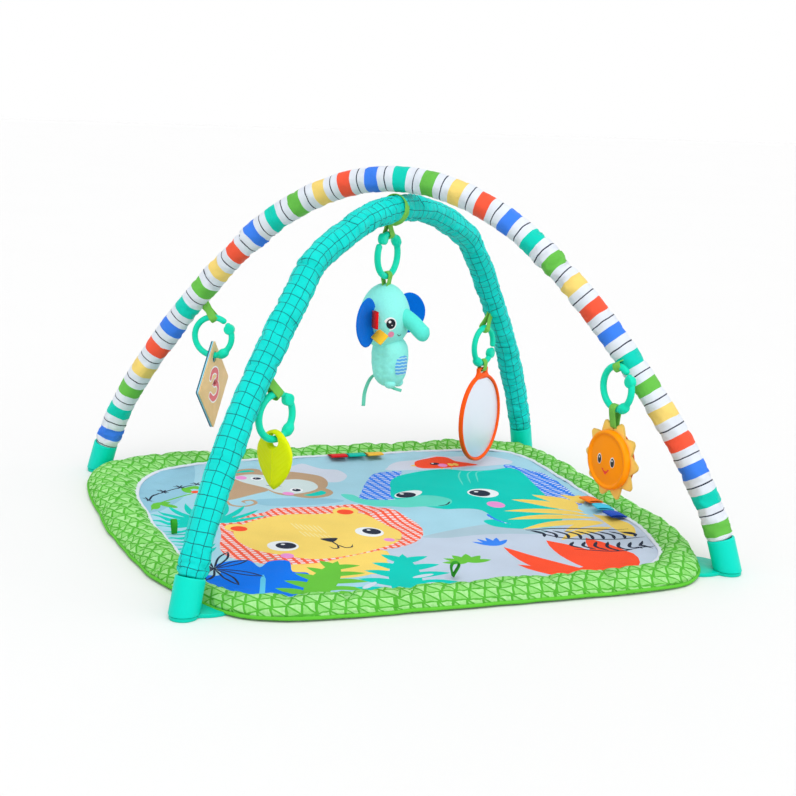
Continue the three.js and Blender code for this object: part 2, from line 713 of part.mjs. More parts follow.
buildMat();
buildAnchors();
buildMatRibbons();
buildArch("striped");
buildArch("teal");
buildStraps();
buildCards();
buildTeether();
buildElephant();
buildMirror();
buildSun();

export default root;
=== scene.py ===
from math import atan2, copysign, cos, exp, hypot, pi, radians, sin, sqrt, tan

import bmesh
import bpy
import numpy as np
from mathutils import Matrix, Vector, noise
from mathutils.bvhtree import BVHTree
from mathutils.geometry import delaunay_2d_cdt


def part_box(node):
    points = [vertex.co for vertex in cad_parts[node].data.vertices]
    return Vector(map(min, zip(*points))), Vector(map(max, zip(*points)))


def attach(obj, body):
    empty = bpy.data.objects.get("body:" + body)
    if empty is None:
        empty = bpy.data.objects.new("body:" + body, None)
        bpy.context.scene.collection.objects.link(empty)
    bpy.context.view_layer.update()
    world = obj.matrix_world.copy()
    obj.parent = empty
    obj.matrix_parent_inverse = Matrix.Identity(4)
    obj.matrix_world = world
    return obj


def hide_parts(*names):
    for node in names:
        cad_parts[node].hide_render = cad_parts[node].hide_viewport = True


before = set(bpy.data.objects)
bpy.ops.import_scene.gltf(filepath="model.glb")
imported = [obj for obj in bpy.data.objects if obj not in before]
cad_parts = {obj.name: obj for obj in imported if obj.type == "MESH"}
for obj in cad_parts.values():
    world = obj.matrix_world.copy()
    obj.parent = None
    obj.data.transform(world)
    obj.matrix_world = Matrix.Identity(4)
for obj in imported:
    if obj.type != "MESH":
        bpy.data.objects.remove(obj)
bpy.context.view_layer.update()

# A baby's activity gym: a padded printed mat, two crossed toy bars in fabric sleeves, and five
# hanging toys. Sizes that follow the CAD model repeat its constants, in millimetres.

MM = 0.001
LATHE_UV_RADIUS = 20

FOOT_X = 330
FOOT_Y = 301
HALF_DIAGONAL = hypot(FOOT_X, FOOT_Y)
DIAGONAL = atan2(FOOT_Y, FOOT_X)

CAP_RADIUS = 16.5
CAP_TOP_Z = 42
CAP_LEAN = radians(17.2)
CAP_BASE = 4.9
SOCKET_DEPTH = 13
BORE_TOP = 25.7
TUBE_IN_CAP = 14
LEG_STEER = 66
LEG_END_SLOPE = radians(41.6)
LEG_END_REACH = 154
SLEEVE_RADIUS = 16.5
ARCHES = {
    "teal": {"sign": 1, "apex": 403, "joint": (207, 350)},
    "striped": {"sign": -1, "apex": 438, "joint": (199, 357)},
}
CORNERS = {
    "front_left": (-1, -1),
    "front_right": (1, -1),
    "back_left": (-1, 1),
    "back_right": (1, 1),
}

ANCHOR_THICKNESS = 4.5
ANCHOR_PAD_RADIUS = 34
ANCHOR_PAD_INSET = 40
ANCHOR_END_RADIUS = 15
STUD_RADIUS = 6
STUD_HEIGHT = 20
STUD_INSET = 3

RING_RADIUS = 26
RING_SECTION = 4.1
STRAP_THICKNESS = 1.2
STRAP_WIDTH = 11

# Where each ring carries its round knob and its thick lobe, in degrees up from its right.
GATES = {
    "card": (26, -58),
    "teether": (42, -42),
    "elephant": (122, 38),
    "mirror": (-34, -124),
    "sun": (26, -58),
}

# The mat as it lies: the reach of its outer and inner seams on each side, then at the corners,
# listed front left, front right, back left, back right. The left side leans in towards the
# front by a share of its reach.
OUTER = {
    "left": 361, "right": 338, "front": 345, "back": 318, "corners": (408, 410, 429, 419),
    "power": 9, "spread": 0.19, "lean": 0.11, "wave": 2.2,
}
INNER = {
    "left": 307, "right": 301, "front": 300, "back": 282, "corners": (378, 364, 350, 382),
    "power": 7.5, "spread": 0.24, "lean": 0.06, "wave": 2.6,
}
SEAM_HEIGHT = 10
OUTER_SEAM_HEIGHT = 6.5
CROWN = 13
HEM_HEIGHT = 1.2
BACKING_HEIGHT = 0.8
PANEL_CROWN = 12.2
PANEL_RINGS = 44
PANEL_SIDES = 220
PANEL_CENTRE = 0.02
BORDER_STEPS = 560

# Cloth swells for this many frames.
SWELL_FRAMES = 20
BLACK = (0, 0, 0, 1)


# ---- Colours and materials ----

def srgb(red, green, blue):
    """A printed colour, 0 to 255 a channel, as the linear colour that shaders use."""
    channels = [c / 255 for c in (red, green, blue)]
    linear = [c / 12.92 if c <= 0.04045 else ((c + 0.055) / 1.055) ** 2.4 for c in channels]
    return (*linear, 1.0)


INK = srgb(38, 46, 66)
WHITE = srgb(238, 241, 246)


class Shade:
    """One procedural material, built up node by node on its Principled shader."""

    def __init__(self, name, colour=None, **sockets):
        self.material = bpy.data.materials.new(name)
        self.material.use_nodes = True
        self.tree = self.material.node_tree
        self.shader = self.tree.nodes["Principled BSDF"]
        if colour is not None:
            self.shader.inputs["Base Color"].default_value = colour
        for socket, value in sockets.items():
            self.shader.inputs[socket.replace("_", " ")].default_value = value

    def node(self, kind, **settings):
        made = self.tree.nodes.new(kind)
        for key, value in settings.items():
            setattr(made, key, value)
        return made

    def put(self, socket, value):
        if isinstance(value, bpy.types.NodeSocket):
            self.tree.links.new(value, socket)
        elif value is not None:
            socket.default_value = value

    def math(self, operation, a, b=None, c=None):
        made = self.node("ShaderNodeMath", operation=operation)
        for socket, value in zip(made.inputs, (a, b, c)):
            self.put(socket, value)
        return made.outputs[0]

    def mix(self, factor, a, b, blend="MIX"):
        made = self.node("ShaderNodeMix", data_type="RGBA", blend_type=blend)
        self.put(made.inputs["Factor"], factor)
        self.put(made.inputs["A"], a)
        self.put(made.inputs["B"], b)
        return made.outputs["Result"]

    def spread(self, value, low, high, to_low=0.0, to_high=1.0):
        made = self.node("ShaderNodeMapRange", clamp=True)
        for key, number in (
            ("From Min", low), ("From Max", high), ("To Min", to_low), ("To Max", to_high),
        ):
            made.inputs[key].default_value = number
        self.put(made.inputs["Value"], value)
        return made.outputs["Result"]

    def axes(self, vector):
        split = self.node("ShaderNodeSeparateXYZ")
        self.put(split.inputs[0], vector)
        return list(split.outputs)

    def uv(self):
        return self.axes(self.node("ShaderNodeTexCoord").outputs["UV"])[:2]

    def place(self):
        return self.node("ShaderNodeTexCoord").outputs["Object"]

    def cloud(self, scale, detail=3.0, roughness=0.5, where=None):
        made = self.node("ShaderNodeTexNoise")
        made.inputs["Scale"].default_value = scale
        made.inputs["Detail"].default_value = detail
        made.inputs["Roughness"].default_value = roughness
        self.put(made.inputs["Vector"], self.place() if where is None else where)
        return made.outputs["Fac"]

    def colour(self, value):
        self.put(self.shader.inputs["Base Color"], value)

    def roughness(self, value):
        self.put(self.shader.inputs["Roughness"], value)

    def bump(self, height, depth, strength=1.0):
        made = self.node("ShaderNodeBump")
        made.inputs["Strength"].default_value = strength
        made.inputs["Distance"].default_value = depth
        self.put(made.inputs["Height"], height)
        self.put(self.shader.inputs["Normal"], made.outputs["Normal"])

    def varied(self, base, amount=0.1, scale=30.0):
        """The colour with soft patches that are a little lighter and darker."""
        patch = self.spread(self.cloud(scale), 0.3, 0.7, 1 - amount, 1 + amount * 0.6)
        made = self.node("ShaderNodeHueSaturation")
        self.put(made.inputs["Value"], patch)
        self.put(made.inputs["Color"], base)
        return made.outputs["Color"]

    def weave(self, pitch):
        """Crossing threads as a height from 0 to 1, from UVs in metres."""
        rate = 2 * pi / pitch
        warp, weft = (self.math("SINE", self.math("MULTIPLY", axis, rate)) for axis in self.uv())
        return self.math("MULTIPLY_ADD", self.math("MULTIPLY", warp, weft), 0.5, 0.5)

    def printed(self, colour, pitch, darkest=0.9):
        """Paints a colour on woven cloth, with painted shade that darkens it between its threads.
        """
        threads = self.weave(pitch)
        # Painted shade: where the threads dip, the colour falls to darkest times itself.
        self.colour(self.mix(self.spread(threads, 0, 0.7, darkest, 1.0), BLACK, colour))
        return threads


def cloth(name, colour, pitch=0.0011, relief=0.00025, amount=0.08, sheen=0.02):
    """Plain woven cloth: threads with painted shade between them, soft patches of tone and a little
    fuzz.
    """
    shade = Shade(name, Roughness=0.85, Specular_IOR_Level=0.08, Sheen_Weight=sheen)
    threads = shade.weave(pitch)
    base = shade.varied(colour, amount)
    # Painted shade: the colour is up to 16 percent darker where the threads dip.
    dark = shade.mix(0.16, base, BLACK, "MULTIPLY")
    shade.colour(shade.mix(shade.spread(threads, 0, 0.6), dark, base))
    shade.bump(shade.math("MULTIPLY_ADD", shade.cloud(900, 2), 0.5, threads), relief)
    return shade.material


def plastic(name, colour, rough=0.32, grain=0.00004, **sockets):
    """Moulded plastic: satin, with a fine texture and faint marks of handling."""
    shade = Shade(name, Specular_IOR_Level=0.12, **sockets)
    shade.colour(shade.varied(colour, 0.04, 18))
    shade.roughness(shade.spread(shade.cloud(140, 4, 0.65), 0.3, 0.75, rough - 0.06, rough + 0.1))
    shade.bump(shade.cloud(1400, 2), grain)
    return shade.material


# ---- Meshes ----

def unit(vector):
    return vector / np.linalg.norm(vector)


def linked(name, data):
    """A new object in the scene with the data given."""
    made = bpy.data.objects.new(name, data)
    bpy.context.scene.collection.objects.link(made)
    return made


def new_piece(name, verts, faces, material, corner_uvs=None):
    """A smooth mesh from points in metres, with one UV for each corner of its faces."""
    mesh = bpy.data.meshes.new(name)
    mesh.from_pydata([tuple(v) for v in verts], [], [tuple(f) for f in faces])
    mesh.polygons.foreach_set("use_smooth", [True] * len(mesh.polygons))
    if corner_uvs is not None:
        layer = mesh.uv_layers.new(name="UVMap")
        layer.data.foreach_set("uv", np.asarray(corner_uvs, float).ravel())
    mesh.materials.append(material)
    return linked(name, mesh)


def grid_piece(name, points, material, uv, closed=False, ends=False):
    """A tube through the rings points[i] in metres, closed on itself or with flat ends.

    uv has one more entry than points round each ring, and one more ring where it is closed.
    """
    points = np.asarray(points, float)
    nu, nv = points.shape[:2]
    faces = []
    corners = []
    for i in range(nu if closed else nu - 1):
        for j in range(nv):
            square = [(i, j), (i, j + 1), (i + 1, j + 1), (i + 1, j)]
            faces.append([(a % nu) * nv + b % nv for a, b in square])
            corners.extend(uv[a][b] for a, b in square)
    for i in (0, nu - 1) if ends else ():
        order = range(nv - 1, -1, -1) if i else range(nv)
        faces.append([i * nv + j for j in order])
        corners.extend(uv[i][j] for j in order)
    return new_piece(name, points.reshape(-1, 3), faces, material, corners)


def outward(piece, weld=False):
    """Turns every face of a closed piece outwards, after joining doubled points if asked."""
    work = bmesh.new()
    work.from_mesh(piece.data)
    if weld:
        bmesh.ops.remove_doubles(work, verts=work.verts, dist=1e-6)
    bmesh.ops.recalc_face_normals(work, faces=work.faces)
    work.to_mesh(piece.data)
    work.free()
    return piece


def crease(piece, degrees=35):
    """Keeps the edges sharp where a smooth piece turns by more than an angle."""
    piece.data.set_sharp_from_angle(angle=radians(degrees))
    return piece


def put(piece, body, slot, *nodes, matrix=None):
    """Moves a piece into place, lets it ride on a body and hides the CAD parts it stands for."""
    if matrix is not None:
        piece.data.transform(matrix)
    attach(piece, body)
    if nodes:
        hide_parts(*nodes)
    return piece


def dress(name, material):
    """Gives a node of the CAD model its material."""
    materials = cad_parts[name].data.materials
    materials.clear()
    materials.append(material)


def settled(piece, held, growth, cap, pressure=4.0, bending=0.4):
    """Lets cloth swell and wrinkle between its held points, each moving by a cap in mm at most."""
    before = np.empty(3 * len(piece.data.vertices))
    piece.data.vertices.foreach_get("co", before)
    group = piece.vertex_groups.new(name="held")
    group.add([int(v) for v in held], 1.0, "REPLACE")
    modifier = piece.modifiers.new("swell", "CLOTH")
    modifier.point_cache.frame_start = 1
    modifier.point_cache.frame_end = SWELL_FRAMES
    settings = modifier.settings
    settings.quality = 5
    settings.mass = 0.2
    settings.tension_stiffness = 12
    settings.compression_stiffness = 12
    settings.bending_stiffness = bending
    settings.effector_weights.gravity = 0
    settings.vertex_group_mass = "held"
    settings.shrink_min = -growth
    settings.use_pressure = True
    settings.uniform_pressure_force = pressure
    for step in range(SWELL_FRAMES):
        bpy.context.scene.frame_set(step + 1)
    solved = piece.evaluated_get(bpy.context.evaluated_depsgraph_get()).to_mesh()
    after = np.empty(len(before))
    solved.vertices.foreach_get("co", after)
    piece.modifiers.remove(modifier)
    piece.vertex_groups.remove(group)
    bpy.context.scene.frame_set(1)
    move = (after - before).reshape(-1, 3)
    far = np.linalg.norm(move, axis=1, keepdims=True)
    move *= np.minimum(1, cap * MM / np.maximum(far, 1e-9))
    piece.data.vertices.foreach_set("co", before + move.ravel())
    piece.data.update()


def measured(points):
    """The distance from a line's start to each of its points."""
    return np.concatenate([[0], np.cumsum(np.linalg.norm(np.diff(points, axis=0), axis=1))])


def rejoined(points):
    """A closed line with its first point again at its end."""
    return np.vstack([points, points[:1]])


def resample(points, count=None, step=None, closed=False):
    """Points at even distances along a polyline."""
    points = np.asarray(points, float)
    if closed:
        points = rejoined(points)
    reach = measured(points)
    if count is None:
        count = max(2, int(round(reach[-1] / step)) + 1)
    at = np.linspace(0, reach[-1], count + 1 if closed else count)
    made = np.stack([np.interp(at, reach, points[:, k]) for k in range(points.shape[1])], 1)
    return made[:-1] if closed else made


def smooth_line(points, steps=8, closed=False):
    """A Catmull-Rom curve through a few points of any dimension."""
    p = [np.asarray(q, float) for q in points]
    n = len(p)
    made = []
    for i in range(n if closed else n - 1):
        a = p[(i - 1) % n] if closed or i else 2 * p[0] - p[1]
        b = p[i]
        c = p[(i + 1) % n]
        d = p[(i + 2) % n] if closed or i + 2 < n else 2 * p[-1] - p[-2]
        for k in range(steps):
            t = k / steps
            squared = (2 * a - 5 * b + 4 * c - d) * t**2
            cubed = (3 * b - a - 3 * c + d) * t**3
            made.append(0.5 * (2 * b + (c - a) * t + squared + cubed))
    if not closed:
        made.append(p[-1])
    return np.array(made)


def sweep(name, line, section, material, closed=False, up=(0, 0, 1), scale=None):
    """A section, as (side, up) pairs in millimetres, carried along a line in millimetres."""
    line = np.asarray(line, float)
    if closed:
        ahead = np.roll(line, -1, 0) - np.roll(line, 1, 0)
    else:
        ahead = np.gradient(line, axis=0)
    section = np.asarray(section, float)
    up = np.asarray(up, float)
    rows = []
    for i, point in enumerate(line):
        tangent = unit(ahead[i])
        side = unit(np.cross(tangent, up))
        rise = np.cross(side, tangent)
        size = 1 if scale is None else scale[i]
        rows.append([point + size * (a * side + b * rise) for a, b in section])
    along = measured(rejoined(line) if closed else line)
    around = measured(rejoined(section))
    uv = [[(u * MM, v * MM) for v in around] for u in along]
    return outward(grid_piece(name, np.array(rows) * MM, material, uv, closed, not closed))


def turns(count):
    """Angles at even steps round a full turn."""
    return [2 * pi * k / count for k in range(count)]


def circle(radius, count, squash=1.0):
    return [(radius * cos(a), squash * radius * sin(a)) for a in turns(count)]


def rounded_bar(width, height, corner, per_corner):
    """A rectangle with round corners, centred on nought."""
    made = []
    for quarter, (sx, sy) in enumerate(((1, 1), (-1, 1), (-1, -1), (1, -1))):
        for k in range(per_corner + 1):
            angle = (quarter + k / per_corner) * pi / 2
            x = sx * (width / 2 - corner) + corner * cos(angle)
            y = sy * (height / 2 - corner) + corner * sin(angle)
            made.append((x, y))
    return made


def lathe(name, profile, material, segments=48):
    """A profile of (radius, height) in millimetres turned about Z."""
    profile = np.asarray(profile, float)
    angles = np.linspace(0, 2 * pi, segments, endpoint=False)
    rows = []
    for radius, height in profile:
        level = np.full(segments, height)
        rows.append(np.stack([radius * np.cos(angles), radius * np.sin(angles), level], 1))
    girth = 2 * pi * LATHE_UV_RADIUS
    across = [girth * j / segments * MM for j in range(segments + 1)]
    uv = [[(u, reach * MM) for u in across] for reach in measured(profile)]
    return outward(grid_piece(name, np.array(rows) * MM, material, uv), weld=True)


def plate(name, outlines, thickness, edge, material):
    """A flat plate in X and Y with round edges, centred on Z, from closed outlines and holes."""
    curve = bpy.data.curves.new(name + "_outline", "CURVE")
    curve.dimensions = "2D"
    curve.fill_mode = "BOTH"
    for outline in outlines:
        spline = curve.splines.new("POLY")
        spline.points.add(len(outline) - 1)
        spline.use_cyclic_u = True
        for point, (x, y) in zip(spline.points, outline):
            point.co = (x * MM, y * MM, 0, 1)
    curve.bevel_depth = edge * MM
    curve.bevel_resolution = 3
    curve.offset = -edge * MM
    curve.extrude = max(0.0, thickness / 2 - edge) * MM
    holder = linked(name + "_curve", curve)
    mesh = evaluated_mesh(holder)
    bpy.data.objects.remove(holder)
    bpy.data.curves.remove(curve)
    mesh.name = name
    mesh.materials.clear()
    mesh.materials.append(material)
    mesh.polygons.foreach_set("use_smooth", [True] * len(mesh.polygons))
    return crease(outward(linked(name, mesh), weld=True), 40)


def evaluated_mesh(piece):
    """A new mesh of what a piece's modifiers or curve settings make of it."""
    graph = bpy.context.evaluated_depsgraph_get()
    return bpy.data.meshes.new_from_object(piece.evaluated_get(graph))


def wobble(x, y, z=0.0):
    return noise.noise(Vector((x, y, z)))


# ---- Outlines of the mat ----

def plain_reach(c, s, edge):
    """How far a rounded rectangle's edge lies from the middle, in the direction (c, s)."""
    half_x = edge["right"] if c > 0 else edge["left"] * (1 - edge["lean"] * max(0, -s))
    half_y = edge["back"] if s > 0 else edge["front"]
    power = edge["power"]
    return ((abs(c) / half_x) ** power + (abs(s) / half_y) ** power) ** (-1 / power)


def reach_at(angle, edge):
    """How far a seam lies from the middle at an angle, with each corner let in or out."""
    c = cos(angle)
    s = sin(angle)
    corner_c = copysign(cos(DIAGONAL), c)
    corner_s = copysign(sin(DIAGONAL), s)
    wanted = edge["corners"][(c > 0) + 2 * (s > 0)]
    change = wanted / plain_reach(corner_c, corner_s, edge) - 1
    off = (atan2(abs(s), abs(c)) - DIAGONAL) / edge["spread"]
    wave = edge["wave"] * wobble(8 * c, 8 * s, edge["power"])
    return plain_reach(c, s, edge) * (1 + change * exp(-off * off)) + wave


def mat_angles(count):
    """Angles that give even steps along the mat's outer seam."""
    fine = np.linspace(0, 2 * pi, 2400, endpoint=False)
    reach = np.array([reach_at(a, OUTER) for a in fine])
    points = np.stack([reach * np.cos(fine), reach * np.sin(fine)], 1)
    even = resample(points, count=count, closed=True)
    return np.arctan2(even[:, 1], even[:, 0])


# ---- The printed panel ----

SKY = srgb(166, 212, 230)
SKY_DEEP = srgb(146, 196, 218)
CLOUD = srgb(208, 216, 232)
GROUND = srgb(194, 207, 226)
HILL = srgb(172, 198, 213)
YELLOW = srgb(250, 216, 112)
CORAL = srgb(250, 98, 70)
ORANGE = srgb(252, 82, 48)
TEAL = srgb(0, 204, 190)
TEAL_LIGHT = srgb(96, 218, 202)
BLUE = srgb(0, 118, 240)
BLUE_SOFT = srgb(55, 132, 242)
GREEN = srgb(104, 194, 62)
BROWN = srgb(188, 158, 128)
FACE_GREY = srgb(206, 222, 224)
PINK = srgb(238, 150, 216)
STRAW = srgb(246, 212, 104)
EDGING = srgb(226, 232, 244)
FLECK = srgb(252, 232, 166)

PLAIN, LADDER, DASHES = 0.0, 1.0, 2.0

BORDER_ROW = 0.0155
BORDER_COLUMN = 0.0175


def oval(cx, cy, rx, ry=None, turn=0, count=26):
    ry = rx if ry is None else ry
    c = cos(radians(turn))
    s = sin(radians(turn))
    made = []
    for a in turns(count):
        x = rx * cos(a)
        y = ry * sin(a)
        made.append((cx + x * c - y * s, cy + x * s + y * c))
    return made


def shape(*points, steps=5):
    return smooth_line(points, steps, closed=True)


def stroke(width, *points, steps=6, taper=True):
    """A brush stroke along a smooth line, thinner towards its ends."""
    line = smooth_line(points, steps)
    ahead = np.gradient(line, axis=0)
    normal = np.stack([-ahead[:, 1], ahead[:, 0]], 1)
    normal /= np.linalg.norm(normal, axis=1)[:, None]
    t = np.linspace(0, 1, len(line))
    half = width / 2 * (np.clip(2.2 * np.sin(pi * t), 0.25, 1) if taper else np.ones_like(t))
    return np.vstack([line + normal * half[:, None], (line - normal * half[:, None])[::-1]])


def petal(base, tip, width, bend=0.0, count=9):
    """A leaf blade from base to tip, as wide as given at its middle, bent to one side."""
    base = np.array(base, float)
    tip = np.array(tip, float)
    along = tip - base
    normal = np.array([-along[1], along[0]]) / np.linalg.norm(along)
    t = np.linspace(0, 1, count)
    spine = base + t[:, None] * along + (bend * np.sin(pi * t))[:, None] * normal
    half = width / 2 * np.sin(pi * t**0.85) ** 0.8
    side = normal * half[:, None]
    return np.vstack([spine + side, (spine - side)[-2:0:-1]])


def lobed_leaf(colour, base, tip, reach, count, width):
    """A leaf cut into rounded fingers on both sides of its rib; reach is (left, right)."""
    way = np.subtract(tip, base)
    length = hypot(*way)
    ahead = way / length
    aside = np.array((-ahead[1], ahead[0]))
    yield colour, petal(base, tip, 0.24 * length)
    for k in range(count):
        t = 0.12 + 0.66 * k / (count - 1)
        start = np.add(base, way * t)
        out = 1 - 0.55 * (k / (count - 1)) ** 1.5
        for side, far in ((1, reach[0]), (-1, reach[1])):
            end = start + aside * side * far * out + ahead * (0.1 + 0.1 * t) * length
            yield colour, petal(start, end, width * (0.7 + 0.3 * out), bend=-4 * side)


def eye(x, y, radius, look=(0.1, 0.1), turn=0, tall=1.1):
    """An eye: its white, its dark pupil and a small light in it."""
    px = x + look[0] * radius
    py = y + look[1] * radius
    return [
        (WHITE, oval(x, y, radius, radius * tall, turn)),
        (INK, oval(px, py, radius * 0.66, radius * 0.7, turn)),
        (WHITE, oval(px - radius * 0.12, py + radius * 0.3, radius * 0.14)),
    ]


def sky_and_ground():
    yield SKY_DEEP, shape((-320, 300), (-320, 60), (-262, 92), (-214, 196), (-208, 300))
    yield CLOUD, shape(
        (-72, 232), (-44, 252), (-22, 226), (0, 214), (2, 178), (-22, 152), (-60, 176),
    )
    yield CLOUD, shape(
        (76, 214), (98, 238), (128, 246), (170, 262), (226, 250), (262, 228), (256, 198), (84, 196),
    )
    yield GROUND, shape(
        (-30, -130), (20, -112), (70, -108), (130, -118), (200, -108), (330, -60), (330, -330),
        (-60, -330), (-90, -190),
    )
    yield HILL, shape(
        (8, -112), (50, -96), (104, -76), (140, -86), (176, -112), (160, -128), (96, -118),
        (44, -124),
    )
    yield SKY_DEEP, shape((-150, 88), (-60, 78), (-40, 60), (-90, 52), (-150, 62))


def lion():
    mane = shape(
        (-222, 0), (-206, 20), (-160, 30), (-138, 47), (-96, 44), (-60, 42), (-30, 42), (-4, 18),
        (17, -22), (23, -64), (8, -112), (-28, -142), (-92, -160), (-148, -180), (-196, -172),
        (-236, -146), (-246, -108), (-232, -50),
    )
    head = shape(
        (-196, -14), (-160, 8), (-136, 17), (-96, 10), (-72, 8), (-36, -2), (-18, -52), (-12, -92),
        (-36, -130), (-86, -156), (-142, -167), (-178, -146), (-206, -116), (-218, -78),
        (-214, -40),
    )
    body = shape((-182, -156), (-60, -150), (-68, -196), (-74, -212), (-112, -236), (-172, -226))
    yield YELLOW, body
    yield YELLOW, stroke(9, (-98, -206), (-94, -228), (-82, -222), (-70, -208), (-66, -192))
    yield CORAL, mane, LADDER
    yield YELLOW, head
    yield YELLOW, oval(-206, -27, 15, 19, 20)
    yield ORANGE, oval(-205, -30, 10, 12, 20)
    yield YELLOW, oval(-52, 14, 17, 20, -30)
    yield ORANGE, oval(-53, 12, 11, 12, -30)
    for k in range(7):
        x = -136 + 5 * k
        yield FLECK, stroke(1.6, (x, -20 - 3 * k), (x + 3, -48 - 4 * k))
        yield FLECK, stroke(1.6, (x + 2, -54 - 4 * k), (x + 4, -80 - 2 * k))
    yield from eye(-170, -110, 19, (0.2, 0.0))
    yield from eye(-49, -76, 18, (0.2, 0.1))
    yield INK, shape((-118, -92), (-107, -90), (-96, -92), (-101, -102), (-107, -107), (-113, -102))
    yield INK, stroke(2.4, (-107, -104), (-104, -122))
    yield INK, stroke(
        2.6, (-116, -124), (-113, -133), (-107, -132), (-104, -122), (-98, -132), (-90, -131),
        (-86, -122),
    )
    yield PINK, oval(-175, -148, 8, 9)
    yield PINK, oval(-35, -112, 7, 8)
    for x, y in ((-196, -152), (-22, -112)):
        yield BROWN, stroke(2.0, (x - 6, y - 4), (x + 6, y + 2))
        yield BROWN, stroke(2.0, (x - 5, y + 3), (x + 5, y - 3))


def elephant_print():
    head = shape(
        (30, 62), (42, 104), (60, 150), (98, 180), (150, 194), (186, 176), (222, 172), (252, 180),
        (263, 160), (254, 98), (246, 40), (236, -20), (222, -70), (190, -104), (154, -96),
        (134, -66), (128, -18), (104, -4), (80, -2), (58, 12), (46, 34),
    )
    near_ear = shape(
        (-16, 62), (0, 104), (24, 152), (48, 184), (88, 190), (66, 150), (46, 106), (32, 60),
        (8, 44),
    )
    far_ear = shape(
        (250, 192), (278, 172), (290, 124), (288, 64), (280, -8), (262, -24), (240, 24), (250, 84),
    )
    trunk = shape(
        (-34, 92), (-18, 88), (-12, 62), (8, 54), (40, 54), (66, 66), (92, 62), (106, 46),
        (102, 26), (82, 12), (50, 12), (20, 16), (-8, 28), (-28, 54),
    )
    yield BLUE_SOFT, near_ear, DASHES
    yield BLUE_SOFT, far_ear, DASHES
    yield TEAL, shape((112, -62), (132, -58), (170, -70), (178, -96), (150, -104), (118, -88))
    yield BLUE_SOFT, shape((128, -34), (160, -32), (172, -52), (150, -84), (132, -70)), DASHES
    yield TEAL, head
    yield TEAL_LIGHT, trunk
    yield WHITE, oval(58, 76, 26, 13, 32)
    yield INK, oval(53, 72, 16, 12, 32)
    yield WHITE, oval(49, 78, 3)
    yield from eye(162, 60, 22, (-0.22, 0.0), tall=0.96)
    yield PINK, oval(158, 5, 12, 15)
    yield INK, stroke(2.6, (78, 14), (92, 19), (102, 32))
    for k in range(3):
        yield TEAL_LIGHT, stroke(
            2.2,
            (150 + 14 * k, 104 + 6 * k), (162 + 16 * k, 150 + 6 * k), (176 + 16 * k, 178 - 4 * k),
        )


def monkey():
    yield BROWN, shape((-196, 96), (-152, 112), (-124, 132), (-128, 178), (-158, 192), (-182, 170))
    yield BROWN, stroke(
        5, (-190, 100), (-192, 74), (-176, 62), (-158, 72), (-160, 86), (-172, 84), (-170, 74),
    )
    yield BROWN, oval(-132, 228, 22, 16, 20)
    yield TEAL, oval(-134, 227, 14, 9, 20)
    yield BROWN, oval(-72, 112, 32, 30)
    yield TEAL, oval(-68, 106, 18, 14, 20)
    yield BROWN, shape(
        (-164, 214), (-136, 226), (-96, 224), (-60, 212), (-34, 184), (-36, 146), (-56, 116),
        (-92, 98), (-118, 106), (-130, 140), (-150, 170),
    )
    yield FACE_GREY, shape(
        (-156, 204), (-132, 214), (-110, 206), (-96, 180), (-70, 178), (-54, 162), (-54, 134),
        (-70, 116), (-98, 108), (-118, 118), (-128, 146), (-150, 178),
    )
    yield from eye(-87, 126, 9, (0.0, 0.0))
    yield from eye(-126, 192, 9, (0.0, 0.0))
    yield PINK, oval(-103, 110, 8, 9)
    yield PINK, oval(-147, 199, 8, 9)
    yield INK, stroke(2.2, (-122, 158), (-114, 148), (-102, 148))


def bird():
    yield STRAW, shape((112, 216), (122, 222), (122, 212))
    yield ORANGE, shape(
        (120, 208), (126, 236), (146, 250), (182, 258), (190, 232), (206, 214), (190, 200),
        (140, 200),
    )
    yield ORANGE, petal((186, 214), (214, 204), 16)
    yield PINK, oval(161, 212, 7, 8)
    for x in (174, 182):
        yield STRAW, oval(x, 213, 4, 7)
    yield INK, oval(152, 222, 7, 6)
    yield WHITE, oval(150, 225, 2)
    for x in (155, 170):
        yield STRAW, stroke(2.4, (x, 200), (x - 3, 190))


def palm_and_branch():
    for k in range(11):
        angle = radians(12 + 17 * k)
        reach = 96 - 3.2 * abs(k - 4)
        tip = (-236 + reach * cos(angle), 2 + reach * sin(angle))
        yield TEAL, petal((-236, 2), tip, 11, bend=-7 if k < 5 else 7)
    for k in range(8):
        y = -12 - 14 * k
        yield TEAL, petal((-234 - 2 * k, y + 14), (-304, y - 20), 9, bend=9)
    yield GREEN, stroke(3.4, (-298, 60), (-286, 92), (-250, 122), (-218, 140))
    for x, y, turn in (
        (-278, 96, 20), (-270, 84, -50), (-288, 84, 70), (-226, 160, 30), (-234, 150, 100),
        (-214, 156, -20),
    ):
        yield GREEN, oval(x, y, 13, 6, turn, 14)
    yield ORANGE, oval(-224, 140, 6)
    yield INK, stroke(2.6, (-296, 102), (-284, 126), (-262, 150), (-236, 166), (-200, 182))
    for x, y in ((-292, 112), (-266, 148), (-240, 166), (-214, 178)):
        for turn in (60, 110, 150):
            c = cos(radians(turn))
            s = sin(radians(turn))
            yield INK, stroke(2.4, (x - 8 * c, y - 8 * s), (x + 10 * c, y + 10 * s))


